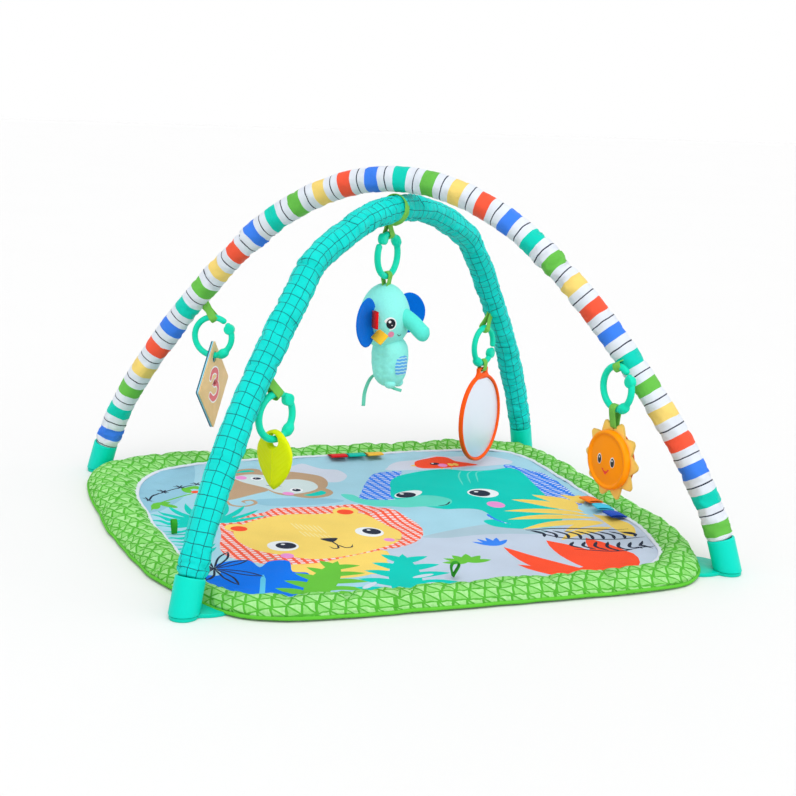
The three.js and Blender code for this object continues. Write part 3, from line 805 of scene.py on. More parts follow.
def front_leaves():
    yield BLUE, shape(
        (-296, -206), (-266, -196), (-262, -158), (-224, -150), (-216, -178), (-200, -160),
        (-178, -166), (-184, -204), (-168, -212), (-176, -246), (-200, -290), (-250, -296),
        (-286, -256), steps=4,
    )
    yield srgb(96, 200, 236), stroke(6, (-242, -288), (-230, -246), (-219, -206))
    yield from lobed_leaf(GREEN, (-194, -304), (-122, -178), (46, 62), 5, 17)
    yield from lobed_leaf(TEAL, (-86, -322), (-38, -168), (58, 66), 5, 21)
    for x, y, turn in ((-112, -266, 40), (-88, -290, 60), (-48, -276, 12), (-42, -250, 12)):
        yield CLOUD, oval(x, y, 14, 4, turn, 16)
    for k in range(9):
        angle = radians(25 + 37 * k)
        reach = 62 if k % 3 else 50
        c = cos(angle)
        s = sin(angle)
        x = -268 + 0.6 * reach * c
        y = -172 + 0.6 * reach * s
        way = (-268 + reach * c, -172 + reach * s)
        for side in (-5, 5):
            yield INK, stroke(2.8, (-268, -172), (x - side * s, y + side * c), way)


def right_plants():
    for k in range(5):
        angle = radians(38 + 26 * k)
        yield BLUE_SOFT, petal((85, -166), (85 + 30 * cos(angle), -166 + 34 * sin(angle)), 9)
    for k in range(6):
        angle = radians(10 + 32 * k)
        yield GREEN, petal((28, -214), (28 + 32 * cos(angle), -216 + 32 * sin(angle)), 13)
    yield ORANGE, petal((168, -300), (92, -172), 34, bend=14)
    yield ORANGE, petal((176, -296), (84, -232), 30, bend=10)
    yield ORANGE, petal((184, -300), (158, -154), 52, bend=-4)
    yield ORANGE, petal((196, -300), (212, -156), 50, bend=-10)
    yield ORANGE, shape((112, -272), (150, -262), (206, -256), (218, -300), (116, -300))
    for base, tip, width in (
        ((276, -20), (266, 34), 22), ((262, -34), (226, 38), 30), ((262, -52), (188, 22), 26),
        ((264, -66), (156, -26), 22), ((266, -82), (146, -62), 20), ((268, -100), (148, -104), 20),
        ((268, -122), (178, -156), 20), ((266, -104), (196, -128), 14),
        ((272, -170), (270, -60), 26),
    ):
        yield STRAW, petal(base, tip, width, bend=-9)
    for k in range(9):
        x = 156 + 14 * k
        y = -110 - 4 * k
        long = 40 - 2.4 * abs(k - 4)
        yield INK, stroke(4.6, (x, y), (x + 11, y - 0.5 * long), (x + 6, y - long))
    for k in range(7):
        x = 186 + 14 * k
        y = -166 - 4 * k
        long = 38 - 3.0 * abs(k - 3)
        yield INK, stroke(4.6, (x + 4, y), (x - 6, y - 0.5 * long), (x + 3, y - long))
    yield INK, stroke(3.4, (150, -108), (206, -114), (282, -138))
    yield INK, stroke(3.4, (150, -108), (196, -156), (284, -178))
    yield INK, stroke(3.4, (176, -196), (226, -214), (284, -212))


def artwork():
    """Every printed shape as (colour, outline, pattern), from the bottom layer to the top."""
    for part in (
        sky_and_ground, monkey, bird, elephant_print, lion, palm_and_branch, front_leaves,
        right_plants,
    ):
        for colour, outline, *pattern in part():
            yield colour, np.asarray(outline, float), pattern[0] if pattern else PLAIN


def inside(points, outline):
    """Which points lie in a closed outline, by counting crossings."""
    x, y = points.T
    outline = np.asarray(outline, float)
    hit = np.zeros(len(points), bool)
    low = outline.min(0)
    high = outline.max(0)
    near = (x >= low[0]) & (x <= high[0]) & (y >= low[1]) & (y <= high[1])
    px = x[near]
    py = y[near]
    odd = np.zeros(len(px), bool)
    for (ax, ay), (bx, by) in zip(outline, np.roll(outline, -1, 0)):
        if ay != by:
            odd ^= ((ay > py) != (by > py)) & (px < (bx - ax) * (py - ay) / (by - ay) + ax)
    hit[near] = odd
    return hit


def panel_height(x, y):
    """The quilted panel's height, lower at its seam, with soft swells and puckers."""
    share = hypot(x, y) / reach_at(atan2(y, x), INNER)
    fall = min(1, max(0, (share - 0.88) / 0.12))
    swell = 1.5 * wobble(x / 95, y / 95, 3) + 0.9 * wobble(x / 38, y / 38, 9)
    pucker = 2.6 * fall * wobble(x / 13, y / 13, 5)
    return PANEL_CROWN + swell + pucker - 2.6 * fall * fall * (3 - 2 * fall)


def swollen_panel(material):
    """The panel's heights after it has swelled as cloth, over shares of the way out and angles."""
    shares = np.linspace(PANEL_CENTRE, 1, PANEL_RINGS)
    angles = np.linspace(0, 2 * pi, PANEL_SIDES, endpoint=False)
    edge = np.array([reach_at(a, INNER) for a in angles])
    x = shares[:, None] * edge * np.cos(angles)
    y = shares[:, None] * edge * np.sin(angles)
    z = np.array([[panel_height(px, py) for px, py in zip(*row)] for row in zip(x, y)])
    rows = np.stack([x, y, z], 2)
    uv = [[(0, 0)] * (PANEL_SIDES + 1)] * PANEL_RINGS
    piece = grid_piece("panel_while_swelling", rows * MM, material, uv)
    last = PANEL_RINGS * PANEL_SIDES
    settled(piece, range(last - 2 * PANEL_SIDES, last), 0.012, 5, pressure=1.0)
    heights = np.array([v.co.z for v in piece.data.vertices]) / MM
    bpy.data.objects.remove(piece)
    return heights.reshape(PANEL_RINGS, PANEL_SIDES)


def looked_up(heights, flat):
    """Heights at points of the panel, read between the four nearest points of the grid."""
    reach = np.array([reach_at(atan2(y, x), INNER) for x, y in flat])
    share = np.hypot(*flat.T) / reach
    ring = np.clip((share - PANEL_CENTRE) / (1 - PANEL_CENTRE), 0, 1) * (PANEL_RINGS - 1)
    side = (np.arctan2(flat[:, 1], flat[:, 0]) / (2 * pi) % 1) * PANEL_SIDES
    r = np.minimum(ring.astype(int), PANEL_RINGS - 2)
    a = side.astype(int) % PANEL_SIDES
    b = (a + 1) % PANEL_SIDES
    u = ring - r
    v = side - side.astype(int)
    near = heights[r, a] * (1 - v) + heights[r, b] * v
    far = heights[r + 1, a] * (1 - v) + heights[r + 1, b] * v
    return near * (1 - u) + far * u


def panel_material():
    """Cloth printed in the mesh's own colours, with ladders or dashes where the print has them."""
    shade = Shade("printed_panel_cloth", Roughness=0.8, Specular_IOR_Level=0.1)

    def stored(name, output):
        return shade.node(
            "ShaderNodeAttribute", attribute_name=name, attribute_type="GEOMETRY"
        ).outputs[output]

    kind = stored("pattern", "Fac")
    u, v = shade.uv()
    lean = shade.math("MULTIPLY_ADD", v, 0.12, u)
    marks = []
    for pattern, spacing, width, gap in (
        (LADDER, 0.005, 0.0022, 0.0012), (DASHES, 0.0062, 0.0024, 0.0021),
    ):
        bars = shade.math("GREATER_THAN", shade.math("PINGPONG", lean, spacing), width)
        breaks = shade.math("GREATER_THAN", shade.math("PINGPONG", v, 0.0036), gap)
        here = shade.math("COMPARE", kind, pattern, 0.25)
        marks.append(shade.math("MULTIPLY", shade.math("MULTIPLY", bars, breaks), here))
    pale = shade.math("MULTIPLY", shade.math("ADD", *marks), 0.78)
    colour = shade.varied(shade.mix(pale, stored("print", "Color"), WHITE), 0.05, 16)
    # Painted shade between the threads, down to 0.88 of the colour.
    threads = shade.printed(colour, 0.0012, 0.88)
    shade.bump(shade.math("MULTIPLY_ADD", shade.cloud(420, 3), 0.6, threads), 0.00025)
    return shade.material


def panel_triangles(outlines):
    """Flat points and triangles that fill the inner seam and have edges along every outline."""
    angles = np.linspace(0, 2 * pi, 260, endpoint=False)
    rim = np.array([(reach_at(a, INNER) * cos(a), reach_at(a, INNER) * sin(a)) for a in angles])
    spacing = 6.0
    xs = np.arange(-INNER["left"], INNER["right"], spacing)
    ys = np.arange(-INNER["front"], INNER["back"], spacing)
    shift = spacing / 2
    lattice = np.array([(x + row % 2 * shift, y) for row, y in enumerate(ys) for x in xs])
    reach = np.array([reach_at(atan2(y, x), INNER) for x, y in lattice])
    lattice = lattice[np.hypot(*lattice.T) < reach - 3]
    points = [tuple(p) for p in lattice]
    edges = []
    for outline in [rim] + outlines:
        first = len(points)
        points.extend(tuple(p) for p in outline)
        edges.extend((first + k, first + (k + 1) % len(outline)) for k in range(len(outline)))
    verts, _, faces, *_ = delaunay_2d_cdt([Vector(p) for p in points], edges, [], 0, 1e-3)
    flat = np.array([tuple(v) for v in verts])
    faces = np.array([tuple(f) for f in faces])
    faces = faces[inside(flat[faces].mean(1), rim)]
    used, faces = np.unique(faces, return_inverse=True)
    return flat[used], faces.reshape(-1, 3)


def make_panel():
    """The printed panel. Each triangle carries its print's colour, so no image is needed."""
    layers = list(artwork())
    flat, faces = panel_triangles([outline for _, outline, _ in layers])
    middle = flat[faces].mean(1)
    colours = np.tile(np.array(SKY), (len(faces), 1))
    kinds = np.zeros(len(faces))
    for colour, outline, kind in layers:
        found = inside(middle, outline)
        colours[found] = colour
        kinds[found] = kind
    material = panel_material()
    heights = looked_up(swollen_panel(material), flat)
    verts = np.column_stack([flat, heights]) * MM
    uvs = flat[faces].reshape(-1, 2) * MM
    panel = new_piece("mat_printed_panel", verts, faces, material, uvs)
    for name, values in (
        ("print", colours), ("pattern", np.stack([kinds] * 3 + [np.ones(len(kinds))], 1)),
    ):
        layer = panel.data.color_attributes.new(name=name, type="FLOAT_COLOR", domain="CORNER")
        layer.data.foreach_set("color", np.repeat(values, 3, 0).ravel())
    put(panel, "mat", "panel_cloth", "mat_panel")
    return panel


# ---- Border, piping and underside ----

def border_material():
    """Green cloth printed with rows of light triangles between hand-drawn lines."""
    shade = Shade("printed_border_cloth", Roughness=0.85, Specular_IOR_Level=0.08)
    across, along, rise = shade.axes(shade.place())
    slope_x = shade.math("MULTIPLY_ADD", rise, 0.9, across)
    slope_y = shade.math("MULTIPLY_ADD", rise, 0.9, along)
    x = shade.math("MULTIPLY_ADD", shade.cloud(24, 3), 0.016, slope_x)
    y = shade.math("MULTIPLY_ADD", shade.cloud(19, 3), 0.014, slope_y)
    row = shade.math("DIVIDE", y, BORDER_ROW)
    shift = shade.math("MULTIPLY", shade.math("FLOOR", row), 0.37)
    column = shade.math("ADD", shade.math("DIVIDE", x, BORDER_COLUMN), shift)
    zigzag = shade.math("MULTIPLY", shade.math("PINGPONG", column, 0.5), 2.0)
    off = shade.math("SUBTRACT", shade.math("FRACT", row), zigzag)
    clear_of_rows = shade.math("GREATER_THAN", shade.math("PINGPONG", row, 0.5), 0.07)
    above = shade.math("MULTIPLY", shade.math("GREATER_THAN", off, 0.17), clear_of_rows)
    below = shade.math("MULTIPLY", shade.math("LESS_THAN", off, -0.17), clear_of_rows)
    hatch = shade.spread(shade.cloud(300, 3), 0.35, 0.65)
    light = shade.mix(hatch, srgb(158, 226, 136), srgb(180, 236, 160))
    middle = shade.mix(hatch, srgb(136, 216, 110), srgb(152, 224, 128))
    base = shade.varied(srgb(90, 188, 60), 0.08, 26)
    # Painted shade between the threads, down to 0.9 of the colour.
    threads = shade.printed(shade.mix(below, shade.mix(above, base, light), middle), 0.0012)
    height = shade.math("MULTIPLY_ADD", shade.cloud(95, 4, 0.6), 6.0, threads)
    shade.bump(shade.math("MULTIPLY_ADD", shade.cloud(500, 3), 0.6, height), 0.0004)
    return shade.material


def make_border():
    """The stuffed border: a crown between two seams, puckered close to both, with a flat hem."""
    angles = mat_angles(BORDER_STEPS)
    across = 0.5 - 0.5 * np.cos(np.linspace(0, pi, 25))
    inner = np.array([reach_at(a, INNER) for a in angles]) + 0.5
    outer = np.array([reach_at(a, OUTER) for a in angles])
    middle = (inner + outer) / 2
    loop = np.stack([middle * np.cos(angles), middle * np.sin(angles)], 1)
    along = measured(rejoined(loop))
    rows = []
    for k, angle in enumerate(angles):
        c = cos(angle)
        s = sin(angle)
        x, y = loop[k]
        broad = 1 + 0.22 * wobble(x / 36, y / 36, 1) + 0.14 * wobble(x / 16, y / 16, 2)
        tuck = 1.8 * wobble(x / 6.5, y / 6.5, 4)
        ring = []
        for t in across:
            near_seam = exp(-t / 0.16) + 0.8 * exp(-(1 - t) / 0.13)
            reach = inner[k] + t * (outer[k] - inner[k])
            px = reach * c
            py = reach * s
            seam = SEAM_HEIGHT + (OUTER_SEAM_HEIGHT - SEAM_HEIGHT) * t
            height = seam + CROWN * (1 - abs(2 * t - 1) ** 2.3) ** 0.72 * broad
            height += near_seam * tuck * min(1, 8 * t) * min(1, 8 * (1 - t))
            swells = 1.6 * wobble(px / 13, py / 13, 7) + 0.8 * wobble(px / 6, py / 6, 8)
            height += sin(pi * t) * swells
            ring.append((px, py, height))
        for hem in (outer[k] - 2, inner[k] + 1):
            ring.append((hem * c, hem * s, HEM_HEIGHT))
        rows.append(ring)
    rows = np.array(rows)
    around = measured(rejoined(rows[0]))
    uv = [[(u * MM, v * MM) for v in around] for u in along]
    border = outward(grid_piece("mat_padded_border", rows * MM, border_material(), uv, closed=True))
    per_row = len(rows[0])
    seams = (0, 1, *range(len(across) - 2, per_row))
    settled(border, [k * per_row + j for k in range(BORDER_STEPS) for j in seams], 0.05, 9)
    put(border, "mat", "border_cloth", "mat_border")


def around_mat(reach, height, count=420):
    """A closed line round the mat, at a reach and height given for each angle."""
    angles = mat_angles(count)
    return np.array([(reach(a) * cos(a), reach(a) * sin(a), height(a)) for a in angles])


def make_piping():
    """The tape round the mat's edge, the welt round its panel, and the cloth underneath."""
    line = around_mat(
        lambda a: reach_at(a, OUTER) + 0.6,
        lambda a: 4.4 + 1.2 * wobble(12 * cos(a), 12 * sin(a), 2),
    )
    section = circle(1.6, 12, 1.35)
    tape = cloth("lime_bias_tape", srgb(98, 198, 58), 0.0009, 0.0002, 0.06)
    piping = sweep("mat_piping_tape", line, section, tape, closed=True)
    put(piping, "mat", "piping_cloth", "mat_piping")
    edging = cloth("pale_seam_edging", EDGING, 0.0009, 0.0002, 0.04)
    welt = around_mat(
        lambda a: reach_at(a, INNER) + 0.4,
        lambda a: SEAM_HEIGHT + 0.6 + 0.8 * wobble(cos(a) * 40, sin(a) * 40, 2),
    )
    seam = sweep("mat_seam_edging", welt, circle(3.4, 12, 0.5), edging, closed=True)
    put(seam, "mat", "panel_cloth")
    backing = cloth("mat_backing_cloth", srgb(216, 222, 226), 0.0014, 0.0003, 0.05)
    sides = 200
    rim = around_mat(lambda a: 0.99 * reach_at(a, OUTER), lambda a: BACKING_HEIGHT, sides)
    verts = [tuple(point * MM) for point in rim]
    verts.append((0, 0, BACKING_HEIGHT * MM))
    faces = [(k, sides, (k + 1) % sides) for k in range(sides)]
    uvs = [(verts[v][0], verts[v][1]) for face in faces for v in face]
    put(new_piece("mat_backing", verts, faces, backing, uvs), "mat", "border_cloth")


def folded_ribbon(name, at, out, rise, length, width, colour):
    """A loop of ribbon sewn in a seam at one end. It points along out and arches by rise."""
    at = np.array(at, float)
    out = unit(np.array(out, float))
    up = np.array((0, 0, 1.0))
    path = [
        at,
        at + out * length * 0.45 + up * rise * 0.9,
        at + out * length * 0.92 + up * rise,
        at + out * length + up * (rise * 0.55),
        at + out * length * 0.9 + up * (rise * 0.12 + 0.6),
        at + out * length * 0.45 + up * 0.6,
        at + up * -0.6,
    ]
    line = resample(smooth_line(path, 6), count=40)
    side = np.cross(up, out)
    satin = cloth(name + "_satin", colour, 0.0007, 0.00012, 0.05, sheen=0.1)
    return sweep(name, line, rounded_bar(0.7, width, 0.3, 2), satin, up=side)


def make_tags():
    tags = [
        ("tag_back_red", (16, 281), (0.0, -1), 24, srgb(222, 26, 34)),
        ("tag_back_teal", (43, 281), (0.02, -1), 26, srgb(0, 190, 170)),
        ("tag_back_yellow", (71, 281), (0.06, -1), 24, srgb(246, 190, 66)),
        ("tag_right_orange", (299, -20), (-1, -0.15), 24, srgb(252, 120, 20)),
        ("tag_right_aqua", (299, -58), (-1, 0.1), 22, srgb(60, 196, 232)),
        ("tag_right_blue", (299, -90), (-1, -0.05), 24, srgb(10, 72, 190)),
    ]
    for name, (x, y), out, width, colour in tags:
        group = "tag_ribbons_back" if "back" in name else "tag_ribbons_right"
        tag = folded_ribbon(name, (x, y, SEAM_HEIGHT + 3), (*out, 0), 3.2, 24, width, colour)
        put(tag, "mat", "ribbon_cloth", group)


def make_mat_loops():
    """Two stand-up loops of green webbing at the panel's edge."""
    webbing = cloth("green_webbing", srgb(52, 158, 44), 0.0012, 0.0003, 0.08)
    for node, way in (("mat_loop_left", (0, 1, 0)), ("mat_loop_front", (1, 0, 0))):
        low, high = (np.array(corner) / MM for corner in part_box(node))
        middle = (low + high) / 2
        way = np.array(way, float)
        foot = low[2] - 2
        tall = 17
        line = []
        for k in range(33):
            t = k / 32
            reach = 4.6 * sin(2 * pi * t) + 3.0 * sin(pi * t)
            line.append(middle + way * reach)
            line[-1][2] = foot + tall * sin(pi * t) ** 0.8
        across = np.cross(way, (0, 0, 1.0))
        loop = sweep(node + "_webbing", line, rounded_bar(1.1, 7, 0.5, 2), webbing, up=across)
        put(loop, "mat", "strap_webbing", node)


# ---- Toy bars ----

STRIPES = [
    srgb(62, 134, 250), srgb(0, 214, 192), srgb(108, 198, 78), srgb(255, 222, 122),
    srgb(255, 92, 62),
]
STRIPE_COUNT = 33.0
STRIPE_START = -0.45
STRIPE_SHARE = 0.45
RULE_SHARE = 0.02
SLEEVE_STEP = 3.2
SLEEVE_SIDES = 44
SLEEVE_WALL = 2.2
GRID_LINES = 9


def on_arch(arch, s, z):
    """The point of an arch at a distance s along its diagonal and a height z."""
    side = ARCHES[arch]["sign"] * s * FOOT_Y
    return np.array((s * FOOT_X, side, z * HALF_DIAGONAL)) / HALF_DIAGONAL


def cap_axis(distance):
    """The point of a cap's leaning axis at a distance past its rim, as (along, height)."""
    s = HALF_DIAGONAL - CAP_TOP_Z * tan(CAP_LEAN) - distance * sin(CAP_LEAN)
    return np.array((s, CAP_TOP_Z + distance * cos(CAP_LEAN)))


def bezier(points, t):
    """A point of a Bezier curve with any number of control points."""
    points = np.array(points, float)
    while len(points) > 1:
        points = points[:-1] + (points[1:] - points[:-1]) * t
    return points[0]


def bar_line(arch, step):
    """The middle line of a whole bar, from where one sleeve end meets its cap to the other."""
    joint = np.array(ARCHES[arch]["joint"], float)
    reach = LEG_END_REACH * np.array((cos(LEG_END_SLOPE), -sin(LEG_END_SLOPE)))
    leg = [cap_axis(-TUBE_IN_CAP), cap_axis(LEG_STEER), joint + reach, joint]
    crown = [joint, (0, 2 * ARCHES[arch]["apex"] - joint[1]), joint * (-1, 1)]
    ts = np.linspace(0, 1, 200)
    near = np.array([bezier(leg, t) for t in ts])
    top = np.array([bezier(crown, t) for t in ts[1:-1]])
    profile = np.vstack([near, top, near[::-1] * (-1, 1)])
    line = resample([on_arch(arch, s, z) for s, z in profile[::-1]], step=step)
    trim = int((TUBE_IN_CAP + 1.0) / step)
    return line[trim:-trim]


def bell(share, middle, spread):
    """One at the middle of a bell curve, falling to nought on both sides."""
    return exp(-(((share - middle) / spread) ** 2))


def sleeve_radius(arch, share, angle, distance):
    """A sleeve's radius: loose cloth with rings of creases where the bar bends or ends."""
    bend = bell(share, 0.3, 0.06) + bell(share, 0.7, 0.06)
    crown = bell(share, 0.5, 0.1)
    hem = exp(-share / 0.03) + exp(-(1 - share) / 0.03)
    if arch == "teal":
        creases = 0.45 + 1.1 * bend + 1.4 * crown + 0.7 * hem + 1.6 * max(0, (share - 0.7) / 0.3)
    else:
        creases = 0.35 + 0.7 * bend + 0.4 * crown + 0.5 * hem
    c = cos(angle)
    s = sin(angle)
    ridge = 0.5 - 2 * abs(wobble(distance / 9, 0.8 * c, 0.8 * s + 7))
    fine = wobble(distance / 4.2, 1.4 * c, 1.4 * s + 3)
    broad = 0.9 * wobble(distance / 24, 1.1 * c, 1.1 * s)
    underside = 1.2 * max(0, -s) * wobble(distance / 7, c, 30)
    return SLEEVE_RADIUS - 0.6 + creases * (0.9 * ridge + 0.5 * fine) + broad + underside


def make_sleeve(arch, material, slot, nodes):
    """A whole bar's sleeve: a creased tube of cloth, with a lining, gathered in at both ends."""
    line = bar_line(arch, SLEEVE_STEP)
    n = len(line)
    ahead = np.gradient(line, axis=0)
    rows = []
    for i in range(n):
        tangent = unit(ahead[i])
        side = unit(np.cross(tangent, (0, 0, 1.0)))
        rise = np.cross(side, tangent)
        gathered = 2.6 * exp(-min(i, n - 1 - i) / 0.8)
        ring = []
        for angle in turns(SLEEVE_SIDES):
            radius = sleeve_radius(arch, i / (n - 1), angle, SLEEVE_STEP * i) - gathered
            ring.append(line[i] + radius * (cos(angle) * side + sin(angle) * rise))
        rows.append(ring)
    rows = np.array(rows)
    middle = line[:, None, :]
    lining = middle + (rows - middle) * ((SLEEVE_RADIUS - SLEEVE_WALL) / SLEEVE_RADIUS)
    inner = list(range(n - 2, 0, -3))
    rows = np.concatenate([rows, lining[inner]])
    around = 2 * pi * SLEEVE_RADIUS
    edges = [around * j / SLEEVE_SIDES * MM for j in range(SLEEVE_SIDES + 1)]
    uv = [[(SLEEVE_STEP * i * MM, v) for v in edges] for i in (*range(n), *inner, 0)]
    length = SLEEVE_STEP * (n - 1)
    sleeve = grid_piece("sleeve_" + arch, rows * MM, material(length * MM), uv, closed=True)
    outward(sleeve)
    hems = 2 * SLEEVE_SIDES
    held = [v for v in range(len(sleeve.data.vertices)) if v < hems or v >= n * SLEEVE_SIDES - hems]
    settled(sleeve, held, 0.05, 2.0, pressure=0.6, bending=0.1)
    put(sleeve, "toy_bars", slot, *nodes)


def striped_cloth(length):
    """Printed stripes round the sleeve: a colour, a pale gap, a thin dark line, a pale gap."""
    shade = Shade("striped_sleeve_cloth", Roughness=0.5, Specular_IOR_Level=0.15)
    along = shade.math("MULTIPLY_ADD", shade.cloud(24, 2), 0.006, shade.uv()[0])
    count = shade.math("MULTIPLY_ADD", along, STRIPE_COUNT / length, STRIPE_START)
    level = shade.math("FRACT", count)
    which = shade.math("DIVIDE", shade.math("ADD", shade.math("FLOOR", count), 0.5), len(STRIPES))
    ramp = shade.node("ShaderNodeValToRGB")
    ramp.color_ramp.interpolation = "CONSTANT"
    for k, colour in enumerate(STRIPES):
        share = k / len(STRIPES)
        stops = ramp.color_ramp.elements
        stop = stops[0] if k == 0 else stops.new(share)
        stop.position = share
        stop.color = colour
    ramp.color_ramp.elements[-1].color = STRIPES[-1]
    shade.put(ramp.inputs["Fac"], shade.math("FRACT", which))
    block = shade.math("LESS_THAN", level, STRIPE_SHARE)
    off = shade.math("ABSOLUTE", shade.math("SUBTRACT", level, (1 + STRIPE_SHARE) / 2))
    ruled = shade.math("LESS_THAN", off, RULE_SHARE)
    ground = shade.mix(ruled, srgb(233, 239, 249), srgb(34, 44, 66))
    colour = shade.varied(shade.mix(block, ground, ramp.outputs["Color"]), 0.05, 20)
    return creased(shade, colour)


def creased(shade, colour):
    """Finishes a sleeve's cloth with threads, painted shade between them, and soft diagonal
    creases, longest round it.
    """
    u, v = shade.uv()
    joined = shade.node("ShaderNodeCombineXYZ")
    shade.put(joined.inputs["X"], shade.math("MULTIPLY_ADD", v, 0.5, u))
    shade.put(joined.inputs["Y"], shade.math("MULTIPLY", v, 0.45))
    fold = shade.cloud(70, 3, 0.55, joined.outputs["Vector"])
    crease_height = shade.math("ABSOLUTE", shade.math("SUBTRACT", fold, 0.5))
    # The threads carry painted shade: the colour darkens between them.
    threads = shade.printed(colour, 0.0009)
    shade.bump(shade.math("MULTIPLY_ADD", crease_height, 9.0, threads), 0.0003)
    return shade.material


def grid_cloth(_length):
    """Bright teal cloth with thin dark lines, hand drawn, round it and along it."""
    shade = Shade("grid_sleeve_cloth", Roughness=0.45, Specular_IOR_Level=0.15)
    u, v = shade.uv()
    along = shade.math("MULTIPLY_ADD", shade.cloud(30, 2), 0.005, u)
    across = shade.math("MULTIPLY_ADD", shade.cloud(22, 2), 0.003, v)
    half_pitch = pi * SLEEVE_RADIUS * MM / GRID_LINES
    lines = [
        shade.math("LESS_THAN", shade.math("PINGPONG", value, spacing), 0.00042)
        for value, spacing in ((along, 0.0064), (across, half_pitch))
    ]
    wander = shade.spread(shade.cloud(60, 2), 0.25, 0.5, 0.75, 0.95)
    ink = shade.math("MULTIPLY", shade.math("MAXIMUM", *lines), wander)
    base = shade.varied(srgb(0, 226, 216), 0.06, 24)
    return creased(shade, shade.mix(ink, base, srgb(8, 88, 100)))


def make_sleeves():
    striped = ["sleeve_leg_front_right", "sleeve_leg_back_left", "sleeve_top_striped"]
    teal = ["sleeve_leg_front_left", "sleeve_leg_back_right", "sleeve_top_teal"]
    make_sleeve("striped", striped_cloth, "striped_sleeve_cloth", striped)
    make_sleeve("teal", grid_cloth, "grid_sleeve_cloth", teal)
    tube = plastic("white_tube_plastic", srgb(228, 232, 236))
    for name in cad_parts:
        if name.startswith("tube_"):
            dress(name, tube)


def make_caps_and_anchors():
    cap_plastic = plastic("cap_plastic", srgb(0, 208, 186), 0.38, 0.00005)
    base_plastic = plastic("anchor_plastic", srgb(0, 196, 172), 0.36, 0.00005)
    for corner, (sx, sy) in CORNERS.items():
        arch = "teal" if sx * sy > 0 else "striped"
        make_cap(corner, arch, sx, cap_plastic)
        make_anchor(corner, sx, sy, base_plastic)


def make_cap(corner, arch, side, material):
    """A leaning end cap, cut flat underneath, with a bore for the tube and one for the stud."""
    segments = 64
    axis = on_arch(arch, -side * sin(CAP_LEAN), cos(CAP_LEAN))
    top = on_arch(arch, side * cap_axis(0)[0], cap_axis(0)[1])
    across = unit(np.cross(axis, (0, 0, 1.0)))
    rise = np.cross(across, axis)
    inwards = on_arch(arch, -side, 0)
    foot = on_arch(arch, side * HALF_DIAGONAL, 0) + STUD_INSET * inwards
    angles = np.linspace(0, 2 * pi, segments, endpoint=False)
    outward_from = [cos(a) * across + sin(a) * rise for a in angles]

    def level(radius, depth):
        return [top - axis * depth + radius * way for way in outward_from]

    def at_height(radius, height):
        ring = []
        for way in outward_from:
            point = top + radius * way
            ring.append(point - axis * (point[2] - height) / axis[2])
        return ring

    plan = [unit(np.array((way[0], way[1], 0))) for way in outward_from]
    r = CAP_RADIUS
    rows = [
        level(radius, depth)
        for radius, depth in (
            (0.01, SOCKET_DEPTH), (r - 3.4, SOCKET_DEPTH), (r - 3.4, 1.0), (r - 2.9, 0.25),
            (r - 1.6, 0), (r - 0.6, 0.3), (r - 0.1, 1.1), (r, 2.2),
        )
    ]
    lower = at_height(r, CAP_BASE + 0.9)
    for t in (0.25, 0.5, 0.75):
        rows.append([a + (b - a) * t for a, b in zip(rows[7], lower)])
    rows += [lower, at_height(r - 0.2, CAP_BASE + 0.3), at_height(r - 0.9, CAP_BASE)]
    bore = STUD_RADIUS + 0.6
    for radius, height in (
        (bore + 0.8, CAP_BASE), (bore, CAP_BASE + 1), (bore, BORE_TOP), (0.01, BORE_TOP)
    ):
        rows.append([np.array((foot[0], foot[1], height)) + radius * way for way in plan])
    uv = [[(0.1 * j / segments, 0.003 * k) for j in range(segments + 1)] for k in range(len(rows))]
    cap = grid_piece("end_cap_plug_" + corner, np.array(rows) * MM, material, uv, ends=True)
    put(crease(outward(cap), 50), "toy_bars", "foot_plastic", "end_cap_" + corner)


def make_anchor(corner, sx, sy, material):
    """The flat tongue that lies under the mat's corner, and the stud that its cap drops on."""
    along = []
    low = -ANCHOR_END_RADIUS
    high = ANCHOR_PAD_INSET + ANCHOR_PAD_RADIUS
    for k in range(81):
        x = (low + high) / 2 - (high - low) / 2 * cos(pi * k / 80)
        halves = [sqrt(max(0, ANCHOR_END_RADIUS**2 - x * x))]
        halves.append(sqrt(max(0, ANCHOR_PAD_RADIUS**2 - (x - ANCHOR_PAD_INSET) ** 2)))
        if 0 < x < ANCHOR_PAD_INSET:
            halves.append(13)
        along.append((x, float(np.linalg.norm(halves, 8))))
    outline = along + [(x, -y) for x, y in along[-2:0:-1]]
    tongue = plate("anchor_tongue_" + corner, [outline], ANCHOR_THICKNESS, 1.1, material)
    stud_top = ANCHOR_THICKNESS + STUD_HEIGHT
    r = STUD_RADIUS
    profile = [
        (0.01, 1), (r, 1), (r, 9), (r - 0.5, 9.6), (r - 0.5, 11), (r, 11.6),
        (r, stud_top - 2.4), (r - 0.7, stud_top - 0.8), (r - 2, stud_top), (0.01, stud_top),
    ]
    stud = lathe("anchor_stud_" + corner, profile, material, 40)
    stud.data.transform(Matrix.Translation((STUD_INSET * MM, 0, 0)))
    turn = Matrix.Translation((sx * FOOT_X * MM, sy * FOOT_Y * MM, 0))
    turn = turn @ Matrix.Rotation(atan2(-sy * FOOT_Y, -sx * FOOT_X), 4, "Z")
    tongue.data.transform(Matrix.Translation((0, 0, ANCHOR_THICKNESS / 2 * MM)))
    for piece in (tongue, crease(stud)):
        put(piece, "mat", "foot_plastic", "anchor_" + corner, matrix=turn)


# ---- Straps and ring links ----

